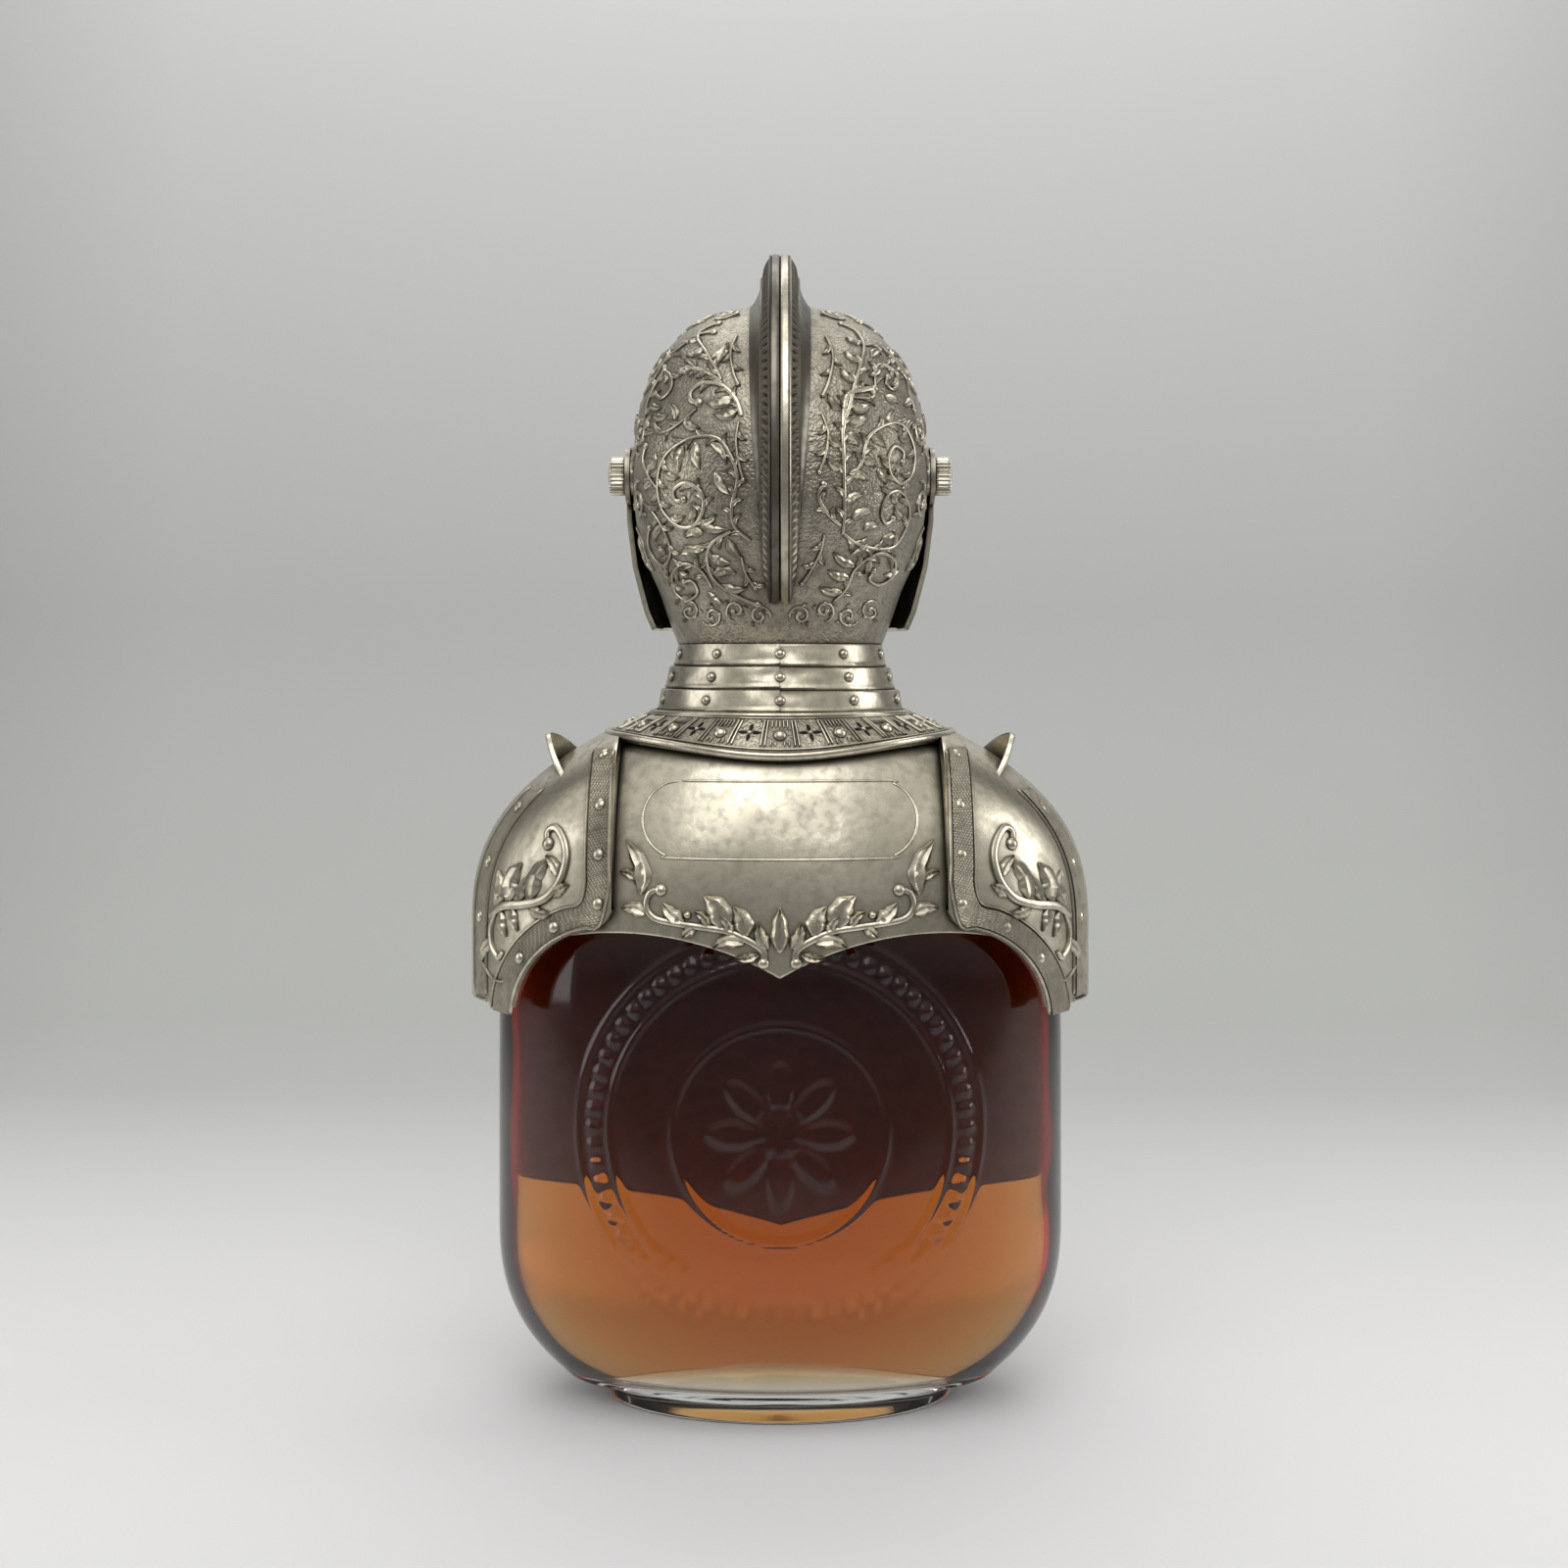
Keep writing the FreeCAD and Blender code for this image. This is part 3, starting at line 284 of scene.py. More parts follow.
    def release(self, name: str, finish: bpy.types.Material) -> bpy.types.Object:
        """Put the mesh into the scene as a smooth object.

        Args:
            name: The object's name.
            finish: Its material.

        Returns:
            The new object.
        """
        mesh = bpy.data.meshes.new(name)
        self.bm.to_mesh(mesh)
        self.bm.free()
        mesh.shade_smooth()
        mesh.materials.append(finish)
        made = bpy.data.objects.new(name, mesh)
        bpy.context.scene.collection.objects.link(made)
        return made

    def turn_over(self) -> None:
        """Turn every face round."""
        bmesh.ops.reverse_faces(self.bm, faces=self.bm.faces[:])


@dataclass(frozen=True)
class Spot:
    """A place on a ground, in metres, with the way that faces out of it."""

    point: Vector
    normal: Vector


Ground = Callable[[float, float], Spot]


def ground_of(place: Place, outward: float = 1.0, step: float = 0.05) -> Ground:
    """Turn a surface into a ground whose slope is known.

    Args:
        place: Gives a point of the surface from two coordinates.
        outward: 1 where the first coordinate crossed with the second faces out, otherwise -1.
        step: Small distance over which the slope is taken.

    Returns:
        A function that gives a spot.
    """
    def ground(first: float, second: float) -> Spot:
        """Return the spot at two coordinates."""
        across = place(first + step, second) - place(first - step, second)
        along = place(first, second + step) - place(first, second - step)
        return Spot(place(first, second), across.cross(along).normalized() * outward)

    return ground


@dataclass
class Relief:
    """Raises cast ornament on a ground that is drawn on in millimetres."""

    bench: Workbench
    ground: Ground
    sink: float = 0.3

    def spot(self, place: Flat) -> Spot:
        """Return the ground's spot at a place."""
        return self.ground(*place)

    def ridge(self, route: Sequence[Flat], half_width: Callable[[float], float],
              section: Callable[[float, float], float], columns: int) -> None:
        """Raise a closed ridge along a route.

        Args:
            route: Places along it.
            half_width: Gives half its width at a share of its length.
            section: Gives its height at a share of the length and a share across, from -1 to 1.
            columns: Faces round it.
        """
        spots = [self.spot(place) for place in route]
        last = len(spots) - 1
        sides = []
        for index, here in enumerate(spots):
            ahead = spots[min(index + 1, last)].point - spots[max(index - 1, 0)].point
            sides.append(here.normal.cross(ahead).normalized())

        def place(round_share: float, share: float) -> Vector:
            """Return a corner of the ridge."""
            index = round(share * last)
            angle = 2 * math.pi * round_share
            across = math.cos(angle)
            half = half_width(share)
            if half <= 0:
                return spots[index].point.copy()
            height = section(share, across) if math.sin(angle) > 1e-6 else -self.sink
            if abs(across) > 0.999:
                height = -self.sink / 2
            return spots[index].point + (sides[index] * across * half + spots[index].normal * height) * MM

        self.bench.sheet(columns, last, place, weld=True)

    def stem(self, points: Sequence[Flat], width: float, rise: float, taper: Flat = (1.0, 1.0),
             groove: float = 0.3, step: float = 0.5) -> None:
        """Raise a rounded stem through points.

        Args:
            points: Places that it passes through.
            width: Its full width.
            rise: Its height.
            taper: Shares of the width at its start and end.
            groove: Depth of the groove along its top, as a share of the height.
            step: Distance between its rings.
        """
        route = smooth_route(points, step)
        length = sum(math.dist(a, b) for a, b in zip(route, route[1:]))
        cap = clamp(width * 0.6 / max(length, width), 0.02, 0.45)

        def half_width(share: float) -> float:
            """Return half the stem's width at a share of its length."""
            reach = min(share, 1 - share) / cap
            rounding = math.sqrt(max(0.0, 1 - (1 - reach) ** 2)) if reach < 1 else 1.0
            return width / 2 * mix(*taper, share) * rounding

        def section(share: float, across: float) -> float:
            """Return the stem's height at a share across."""
            dip = 1 - groove * math.exp(-(across / 0.28) ** 2)
            full = clamp(half_width(share) / (width / 2))
            return rise * full * math.sqrt(1 - across * across) * dip

        self.ridge(route, half_width, section, 10)

    def leaf(self, root: Flat, tip: Flat, width: float, rise: float, bend: float = 0.0,
             lobes: int = 3) -> None:
        """Raise a pointed leaf with a midrib and a lobed edge.

        Args:
            root: Where it starts.
            tip: Where it ends.
            width: Its full width.
            rise: Its height.
            bend: How far its middle bows sideways, as a share of its length.
            lobes: Number of lobes down each side.
        """
        along = (tip[0] - root[0], tip[1] - root[1])
        middle = ((root[0] + tip[0]) / 2 - along[1] * bend, (root[1] + tip[1]) / 2 + along[0] * bend)
        route = smooth_route((root, middle, tip), max(0.25, math.hypot(*along) / 16))

        def half_width(share: float) -> float:
            """Return half the leaf's width at a share of its length."""
            body = math.sin(math.pi * share ** 0.75) if 0 < share < 1 else 0.0
            return width / 2 * body * (1 + 0.1 * math.cos(2 * math.pi * lobes * share))

        def section(share: float, across: float) -> float:
            """Return the leaf's height at a share across."""
            rib = 1 - 0.5 * math.exp(-(across / 0.2) ** 2)
            vein = 1 + 0.1 * math.sin(2 * math.pi * lobes * share * 1.5 - 5 * abs(across))
            swell = 0.45 + 0.55 * math.sin(math.pi * clamp(share))
            return rise * swell * (1 - across ** 4) * rib * vein

        self.ridge(route, half_width, section, 12)

    def sprigs(self, points: Sequence[Flat], gap: float, length: float, rise: float,
               fits: Callable[[Flat], bool]) -> None:
        """Raise small leaves that branch off both sides of a vine in turn.

        Args:
            points: Places that the vine passes through.
            gap: Distance from leaf to leaf.
            length: Length of a leaf.
            rise: Its height.
            fits: Tells whether a leaf may end at a place.
        """
        route = smooth_route(points, gap)
        for index, (here, ahead) in enumerate(zip(route[1:], route[2:])):
            side = 1 if index % 2 else -1
            turn = math.atan2(ahead[1] - here[1], ahead[0] - here[0]) + side * math.radians(46)
            tip = (here[0] + length * math.cos(turn), here[1] + length * math.sin(turn))
            if fits(tip):
                self.leaf(here, tip, length * 0.46, rise, -0.2 * side)

    def bead(self, place: Flat, radius: float, rise: float, segments: int = 12) -> None:
        """Set a bead at a place."""
        self.bench.ball(self.spot(place), radius, rise, segments)

    def scroll(self, centre: Flat, radius: float, start: float, hand: Hand, width: float, rise: float,
               turns: float = 1.4, tail: Sequence[Flat] = ()) -> None:
        """Raise a vine that winds into a scroll with leaves inside and outside it.

        Args:
            centre: The middle of the scroll.
            radius: Its outer radius.
            start: Angle in degrees at which it starts.
            hand: The way that it winds.
            width: Width of the vine.
            rise: Its height.
            turns: Number of turns.
            tail: Places from which the vine comes.
        """
        line = spiral(centre, radius, turns, start, hand)
        self.stem([*tail, *line], width, rise, (0.75, 1.0), step=0.45)
        self.bead(line[-1], width * 0.85, rise * 1.1, 8)
        for angle, inside, outside in ((40, 0.62, 0.0), (115, 0.0, 0.55), (165, 0.7, 0.0), (235, 0.0, 0.5),
                                       (285, 0.6, 0.0)):
            turn = math.radians(start + hand.value * angle)
            reach = radius * (1 - 0.28 * angle / 360)
            root = (centre[0] + reach * math.cos(turn), centre[1] + reach * math.sin(turn))
            lean = turn + hand.value * math.radians(62)
            if inside:
                lean = turn + math.pi - hand.value * math.radians(48)
            length = radius * max(inside, outside)
            tip = (root[0] + length * math.cos(lean), root[1] + length * math.sin(lean))
            self.leaf(root, tip, length * 0.5, rise * 0.9, 0.18 * hand.value)


Colour = tuple[float, float, float]


class Graph:
    """Builds the nodes of a material, a group or the world."""

    def __init__(self, tree: bpy.types.NodeTree) -> None:
        """Start with an empty tree."""
        self.tree = tree
        tree.nodes.clear()

    def add(self, kind: str, inputs: dict | None = None, **settings: object) -> bpy.types.Node:
        """Add a node, set it and link what feeds it.

        Args:
            kind: The node's type.
            inputs: Values or feeding sockets, by the input's name or number.
            **settings: The node's own settings.

        Returns:
            The new node.
        """
        node = self.tree.nodes.new(kind)
        for key, value in settings.items():
            setattr(node, key, value)
        for key, value in (inputs or {}).items():
            if isinstance(value, bpy.types.NodeSocket):
                self.tree.links.new(value, node.inputs[key])
            else:
                node.inputs[key].default_value = value
        return node

    def math(self, operation: str, *values: object) -> bpy.types.NodeSocket:
        """Return the result of a sum on values or sockets."""
        return self.add("ShaderNodeMath", dict(enumerate(values)), operation=operation).outputs[0]

    def blend(self, share: object, low: object, high: object) -> bpy.types.NodeSocket:
        """Return a colour between two colours."""
        return self.add("ShaderNodeMix", {0: share, 6: low, 7: high}, data_type="RGBA").outputs[2]

    def noise(self, vector: bpy.types.NodeSocket, scale: float, detail: float) -> bpy.types.NodeSocket:
        """Return the strength of a noise pattern."""
        return self.add("ShaderNodeTexNoise", {"Vector": vector, "Scale": scale, "Detail": detail}).outputs[0]

    def ramp(self, value: object, low: float, high: float, start: float = 0.0,
             end: float = 1.0) -> bpy.types.NodeSocket:
        """Return a value that runs from start to end while another runs from low to high."""
        return self.add("ShaderNodeMapRange", {0: value, 1: low, 2: high, 3: start, 4: end}).outputs[0]

    def bump(self, height: bpy.types.NodeSocket) -> bpy.types.NodeSocket:
        """Return the normal of a surface with a height in millimetres."""
        return self.add("ShaderNodeBump", {"Strength": 1.0, "Distance": MM, "Height": height}).outputs[0]

    def place(self) -> bpy.types.NodeSocket:
        """Return the place on the object."""
        return self.add("ShaderNodeTexCoord").outputs["Object"]


def start_finish(name: str) -> tuple[bpy.types.Material, Graph]:
    """Return a new material and its empty graph."""
    finish = bpy.data.materials.new(name)
    finish.use_nodes = True
    return finish, Graph(finish.node_tree)


class MetalWear:
    """Group that mottles old metal: broad tarnish, fine grain and small pits."""

    NAME = "Metal wear"

    @classmethod
    def tree(cls) -> bpy.types.NodeTree:
        """Return the group, and make it on first use.

        Returns:
            The group's node tree.
        """
        made = bpy.data.node_groups.get(cls.NAME)
        if made:
            return made
        made = bpy.data.node_groups.new(cls.NAME, "ShaderNodeTree")
        made.interface.new_socket("Vector", in_out="INPUT", socket_type="NodeSocketVector")
        for name in ("Tarnish", "Grain", "Pits"):
            made.interface.new_socket(name, in_out="OUTPUT", socket_type="NodeSocketFloat")
        graph = Graph(made)
        source = graph.add("NodeGroupInput").outputs[0]
        tarnish = graph.noise(source, 55.0, 4.0)
        grain = graph.noise(source, 420.0, 3.0)
        pits = graph.noise(source, 1500.0, 1.0)
        graph.add("NodeGroupOutput", {"Tarnish": tarnish, "Grain": grain, "Pits": pits})
        return made


@dataclass(frozen=True)
class MetalFinish:
    """A cast metal with dark recesses and high places that show wear."""

    name: str
    light: Colour
    dark: Colour
    smooth: float
    rough: float
    recess: float = 1.8
    reach: float = 3.0
    grain: float = 0.05
    pits: float = 0.0
    hatch: float = 0.0

    def make(self) -> bpy.types.Material:
        """Return the material."""
        finish, graph = start_finish(self.name)
        wear = graph.add("ShaderNodeGroup", node_tree=MetalWear.tree())
        graph.tree.links.new(graph.place(), wear.inputs["Vector"])
        tarnish, grain, pits = wear.outputs
        open_share = graph.add("ShaderNodeAmbientOcclusion", {"Distance": self.reach * MM},
                               samples=6).outputs["AO"]
        clean = graph.math("POWER", open_share, self.recess)
        mottle = graph.ramp(tarnish, 0.3, 0.62, 0.6)
        speck = graph.ramp(grain, 0.32, 0.55, 0.72)
        share = graph.math("MULTIPLY", graph.math("MULTIPLY", clean, mottle), speck)
        colour = graph.blend(share, (*self.dark, 1.0), (*self.light, 1.0))
        roughness = graph.ramp(share, 0.1, 0.9, self.rough, self.smooth)
        height = graph.math("ADD", graph.math("MULTIPLY", grain, self.grain),
                            graph.math("MULTIPLY", pits, self.pits))
        if self.hatch:
            height = graph.math("ADD", height, self.weave(graph))
        surface = graph.add("ShaderNodeBsdfPrincipled", {
            "Base Color": colour, "Metallic": 1.0, "Roughness": roughness, "Normal": graph.bump(height)})
        graph.add("ShaderNodeOutputMaterial", {"Surface": surface.outputs[0]})
        return finish

    def weave(self, graph: Graph) -> bpy.types.NodeSocket:
        """Work out a cross-hatch that follows a ribbon's own map.

        Args:
            graph: The material's graph.

        Returns:
            The hatch's height.
        """
        ribbon = graph.add("ShaderNodeUVMap", uv_map="Ribbon").outputs[0]
        parts = graph.add("ShaderNodeSeparateXYZ", {0: ribbon}).outputs
        lines = []
        for operation in ("ADD", "SUBTRACT"):
            slant = graph.math("MULTIPLY", graph.math(operation, parts[0], parts[1]), self.hatch * math.pi)
            lines.append(graph.math("ABSOLUTE", graph.math("SINE", slant)))
        return graph.math("MULTIPLY", graph.math("MULTIPLY", *lines), 0.22)


@dataclass(frozen=True)
class ClearFinish:
    """A clear body: glass or liquor."""

    name: str
    tint: Colour
    bend: float
    rough: float
    absorb: Colour | None = None
    density: float = 0.0
    waves: float = 0.0
    gloss: float = 1.0

    def make(self) -> bpy.types.Material:
        """Return the material."""
        finish, graph = start_finish(self.name)
        body = {"Base Color": (*self.tint, 1.0), "Metallic": 0.0, "Roughness": self.rough, "IOR": self.bend,
                "Transmission Weight": 1.0, "Specular Tint": (self.gloss, self.gloss, self.gloss, 1.0)}
        if self.waves:
            swell = graph.noise(graph.place(), 45.0, 1.0)
            body["Normal"] = graph.bump(graph.math("MULTIPLY", swell, self.waves))
        surface = graph.add("ShaderNodeBsdfPrincipled", body)
        outputs = {"Surface": surface.outputs[0]}
        if self.absorb:
            volume = graph.add("ShaderNodeVolumeAbsorption",
                               {"Color": (*self.absorb, 1.0), "Density": self.density})
            outputs["Volume"] = volume.outputs[0]
        graph.add("ShaderNodeOutputMaterial", outputs)
        return finish


@dataclass(frozen=True)
class SoftFinish:
    """A dull body: felt, a seal or a plate's lining."""

    name: str
    tint: Colour
    rough: float = 0.9
    grain: float = 900.0
    depth: float = 0.1

    def make(self) -> bpy.types.Material:
        """Return the material."""
        finish, graph = start_finish(self.name)
        fibre = graph.noise(graph.place(), self.grain, 3.0)
        shade = graph.ramp(fibre, 0.2, 0.8, 0.75)
        surface = graph.add("ShaderNodeBsdfPrincipled", {
            "Base Color": graph.blend(shade, (0.0, 0.0, 0.0, 1.0), (*self.tint, 1.0)),
            "Roughness": self.rough, "Normal": graph.bump(graph.math("MULTIPLY", fibre, self.depth))})
        graph.add("ShaderNodeOutputMaterial", {"Surface": surface.outputs[0]})
        return finish


class Finishes:
    """The finishes of the object, each made once."""

    def __init__(self) -> None:
        """Make every finish."""
        light = (0.74, 0.685, 0.545)
        dark = (0.035, 0.030, 0.024)
        self.pewter = MetalFinish("Antique pewter", light, dark, 0.25, 0.5, 2.4, 3.5).make()
        self.relief = MetalFinish("Pewter relief", (0.75, 0.69, 0.55), dark, 0.22, 0.5, 1.8, 1.4).make()
        self.stipple = MetalFinish("Stippled pewter", (0.47, 0.43, 0.345), dark, 0.32, 0.58, 2.4, 1.6, 0.12,
                                   0.32).make()
        self.hatch = MetalFinish("Hatched pewter", (0.46, 0.42, 0.33), dark, 0.34, 0.6, 1.8, 2.0, 0.05, 0.0,
                                 1.1).make()
        # Pewter darkened as painted shade, for the comb's shaded side and the crease at its foot.
        self.shaded_pewter = MetalFinish("Pewter painted shade", (0.24, 0.22, 0.185), (0.02, 0.017, 0.014), 0.3, 0.55).make()
        self.rope = MetalFinish("Roped pewter", (0.34, 0.31, 0.26), (0.012, 0.010, 0.009), 0.28, 0.6, 3.2,
                                1.0).make()
        # Black inside of the visor; the collar's petals also take it as painted shade.
        self.inside = MetalFinish("Blackened inside and painted shade", (0.04, 0.036, 0.03), (0.008, 0.007, 0.006), 0.5,
                                  0.8).make()
        self.nickel = MetalFinish("Pale nickel", (0.86, 0.81, 0.68), (0.2, 0.18, 0.14), 0.2, 0.36, 0.8,
                                  0.8).make()
        self.cap = MetalFinish("Cap metal", (0.75, 0.74, 0.72), (0.3, 0.29, 0.28), 0.25, 0.4, 0.8).make()
        self.glass = ClearFinish("Clear glass", (0.99, 0.995, 0.99), 1.5, 0.06, waves=0.35).make()
        self.wet_glass = ClearFinish("Wetted glass", (0.99, 0.995, 0.99), 1.5, 0.0, gloss=0.06).make()
        self.liquor = ClearFinish("Amber liquor", (1.0, 1.0, 1.0), 1.36, 0.0, (0.86, 0.56, 0.05), 75.0,
                                  gloss=0.0).make()
        self.lining = SoftFinish("Dull lining", (0.95, 0.85, 0.75), 0.7, 300.0, 0.05).make()
        self.felt = SoftFinish("Grey felt", (0.2, 0.2, 0.21)).make()
        self.seal = SoftFinish("Cap seal", (0.75, 0.72, 0.66), 0.6).make()


@dataclass(frozen=True)
class CapeForm:
    """The oval cape surface that the armour plates are parts of."""

    shoulder_line: float = 108.0
    draw_height: float = 53.0
    half_width: float = 71.5
    half_depth: float = 43.0
    draw_width: float = 43.0
    draw_depth: float = 15.0
    power: float = 2.85

    def radii(self, height: float, grow: float) -> Flat:
        """Return half the width and half the depth at a height."""
        drawn = clamp((height - grow - self.shoulder_line) / self.draw_height) ** self.power
        width = self.half_width - self.draw_width * drawn + grow
        return width, self.half_depth - self.draw_depth * drawn + grow

    def point(self, turn: float, height: float, grow: float) -> Vector:
        """Return the point at a turn and a height."""
        width, depth = self.radii(height, grow)
        return Vector((width * math.cos(turn), depth * math.sin(turn), height)) * MM

    def across(self, turn: float, height: float, grow: float) -> float:
        """Return how far from the middle a point is."""
        return self.radii(height, grow)[0] * math.cos(turn)

    def turn_at(self, across: float, height: float, grow: float) -> float:
        """Return the turn at which a point is so far from the middle."""
        return math.acos(clamp(across / self.radii(height, grow)[0], -1.0, 1.0))

    def face(self, grow: float, side: int) -> Ground:
        """Return the back (1) or front (-1) as a ground drawn on by width and height."""
        def place(across: float, height: float) -> Vector:
            """Return the point at a distance across and a height."""
            return self.point(side * self.turn_at(across, height, grow), height, grow)

        return ground_of(place, -side)

    def flank(self, grow: float, hand: int) -> Ground:
        """Return the left (1) or right (-1) side as a ground drawn on by depth and height."""
        def place(depth: float, height: float) -> Vector:
            """Return the point at a depth and a height."""
            width, deep = self.radii(height, grow)
            along = clamp(depth / deep, -0.999, 0.999)
            return Vector((hand * width * math.sqrt(1 - along * along), depth, height)) * MM

        return ground_of(place, hand)

    def inside_oval(self, turn: float, height: float, grow: float, oval: Flat) -> bool:
        """Return whether a point lies inside an upright oval drum."""
        width, depth = self.radii(height, grow)
        return (width * math.cos(turn) / oval[0]) ** 2 + (depth * math.sin(turn) / oval[1]) ** 2 < 1


@dataclass(frozen=True)
class Hem:
    """A plate's lower edge: two arches that meet in a point."""

    height: float
    drop: float
    offset: float

    def at(self, across: float) -> float:
        """Return the edge's height at a distance from the middle."""
        radius = (self.offset ** 2 + self.drop ** 2) / (2 * self.drop)
        reach = abs(across) - self.offset
        return self.height - radius + math.sqrt(radius * radius - reach * reach)


@dataclass
class Backplate:
    """The plate at the back, with an engraved frame and a foliate spray."""

    cape: CapeForm
    finishes: Finishes
    hem: Hem = Hem(114.0, 9.3, 34.0)
    top: float = 161.0
    wall: float = 1.6
    frame_half: float = 30.5
    frame_low: float = 130.7
    frame_high: float = 147.5

    def low(self, turn: float) -> float:
        """Return the hem's height at a turn."""
        return self.hem.at(self.cape.across(turn, self.hem.height, 0.0))

    def build(self) -> None:
        """Make the plate and its ornament."""
        bench = Workbench()
        bench.sheet(160, 60, self.place)
        bench.thicken(self.wall, 0.4)
        bench.piece("backplate_shell", self.finishes.pewter, Body.BOTTLE, Slot.PEWTER, ["backplate"])
        bench = Workbench()
        relief = Relief(bench, self.cape.face(0.0, 1))
        self.frame(relief)
        for side in (1, -1):
            self.spray(relief, side)
        relief.leaf((0.0, 110.4), (0.0, 120.6), 4.4, 1.1)
        bench.piece("backplate_ornament", self.finishes.relief, Body.BOTTLE, Slot.PEWTER, outward=True)

    def place(self, across: float, up: float) -> Vector:
        """Return a point of the plate from its shares of turn and height."""
        turn = math.pi * across
        height = mix(self.low(turn), self.top, up)
        return self.cape.point(turn, height, 0.0)

    def frame(self, relief: Relief) -> None:
        """Raise the fine line of the stadium-shaped frame.

        Args:
            relief: The relief that is raised.
        """
        radius = (self.frame_high - self.frame_low) / 2
        middle = (self.frame_high + self.frame_low) / 2
        half = self.frame_half - radius
        loop = []
        for side in (1, -1):
            for step in range(9):
                angle = math.radians(90 - 22.5 * step)
                loop.append((side * (half + radius * math.cos(angle)),
                             middle + side * radius * math.sin(angle)))
        loop.append(loop[0])
        relief.stem(loop, 0.55, 0.2, groove=0.0, step=0.9)

    def spray(self, relief: Relief, side: int) -> None:
        """Raise one half of the spray of leaves under the frame.

        Args:
            relief: The relief that is raised.
            side: 1 for the left half and -1 for the right.
        """
        def turned(*places: Flat) -> list[Flat]:
            """Return places turned to this side."""
            return [(side * across, height) for across, height in places]

        relief.stem(turned((26.6, 124.0), (28.6, 123.0), (29.3, 120.1), (27.4, 117.6), (21.8, 116.5),
                           (16.9, 115.9), (12.0, 115.2), (7.2, 113.3), (3.7, 111.0), (3.5, 108.6)),
                    1.7, 0.9, (0.8, 1.0))
        for place, radius in (((26.2, 123.8), 1.45), ((3.6, 108.2), 1.4), ((20.2, 118.5), 0.9),
                              ((7.3, 117.6), 0.85)):
            relief.bead(*turned(place), radius, 1.0)
        for root, tip, width, bend in (
                ((12.0, 115.4), (16.6, 122.8), 6.2, 0.12), ((7.4, 113.9), (10.2, 120.6), 4.8, 0.1),
                ((2.6, 111.2), (4.6, 117.2), 3.6, -0.1), ((7.6, 112.6), (14.9, 111.4), 3.6, 0.15),
                ((18.4, 115.6), (21.4, 113.4), 2.8, 0.1), ((20.9, 116.8), (25.8, 121.2), 3.8, -0.1),
                ((29.3, 118.5), (35.2, 119.6), 3.4, 0.12), ((30.6, 122.6), (34.2, 134.6), 4.6, 0.14),
                ((31.6, 126.0), (35.4, 127.6), 2.4, 0.1), ((4.6, 110.2), (9.8, 109.2), 2.6, -0.1),
                ((10.4, 114.2), (13.4, 118.6), 2.8, 0.1), ((15.2, 115.8), (18.8, 119.4), 2.6, 0.1)):
            relief.leaf(*turned(root, tip), width, 1.1, side * bend)


@dataclass
class Breastplate:
    """The long plate at the front."""

    cape: CapeForm
    finishes: Finishes
    hem: Hem = Hem(47.0, 13.0, 70.0)
    side_hem: float = 97.0
    half_width: float = 62.0
    top: float = 161.0
    wall: float = 1.6

    def low(self, turn: float) -> float:
        """Return the hem's height at a turn, with a steep step where the side is cut back."""
        across = abs(self.cape.across(turn, self.side_hem, 0.0))
        step = ease((across - self.half_width + 0.5) / 1.6)
        return mix(self.hem.at(min(across, self.half_width)), self.side_hem, step)

    def turn_share(self, share: float) -> float:
        """Return the turn at a share, with more columns where the side is cut back."""
        return -math.pi / 2 + math.pi / 2 * math.copysign(abs(2 * share - 1) ** 0.9, 2 * share - 1)

    def place(self, across: float, up: float, inset: float = 0.0) -> Vector:
        """Return a point of the plate from its shares of turn and height, inset towards its inside."""
        turn = self.turn_share(across)
        top = self.top - (inset + 1.0 if inset else 0.0)
        return self.cape.point(turn, mix(self.low(turn) + inset / 3, top, up ** 0.9), -inset)

    def build(self) -> None:
        """Make the plate and its ornament."""
        bench = Workbench()
        bench.sheet(240, 70, self.place)
        bench.thicken(self.wall, 0.4)
        bench.piece("breastplate_shell", self.finishes.pewter, Body.BOTTLE, Slot.PEWTER, ["breastplate"])
        bench = Workbench()
        bench.sheet(160, 50, lambda across, up: self.place(across, up, self.wall + 0.12))
        bench.turn_over()
        bench.piece("breastplate_lining", self.finishes.lining, Body.BOTTLE, Slot.PEWTER)
        bench = Workbench()
        relief = Relief(bench, self.cape.face(0.0, -1))
        relief.stem([(0.0, 47.0), (0.0, 70.0), (0.0, 108.0)], 2.2, 1.0, groove=0.2, step=1.5)
        for side in (1, -1):
            for inset, width, rise in ((1.6, 1.2, 0.6), (4.4, 0.7, 0.4)):
                edge = [(side * across, self.hem.at(across) + inset) for across in range(0, 59, 4)]
                edge += [(side * 59.2, height) for height in range(48, 96, 5)]
                relief.stem(edge, width, rise, groove=0.0, step=1.2)
            for low in (60.0, 84.0, 108.0):
                relief.scroll((side * 15.0, low + 6.0), 8.0, 270, Hand(side), 1.5, 0.8, 1.5,
                              [(side * 2.5, low - 8.0), (side * 8.0, low - 5.0)])
                relief.scroll((side * 34.0, low), 7.0, 90, Hand(-side), 1.4, 0.8, 1.4,
                              [(side * 19.0, low - 1.0), (side * 26.0, low + 7.0)])
                relief.leaf((side * 40.0, low - 4.0), (side * 51.0, low + 6.0), 4.0, 0.9, side * 0.15)
                relief.leaf((side * 2.5, low - 7.0), (side * 7.5, low + 5.0), 3.4, 0.9, -side * 0.12)
        bench.piece("breastplate_ornament", self.finishes.relief, Body.BOTTLE, Slot.PEWTER, outward=True)


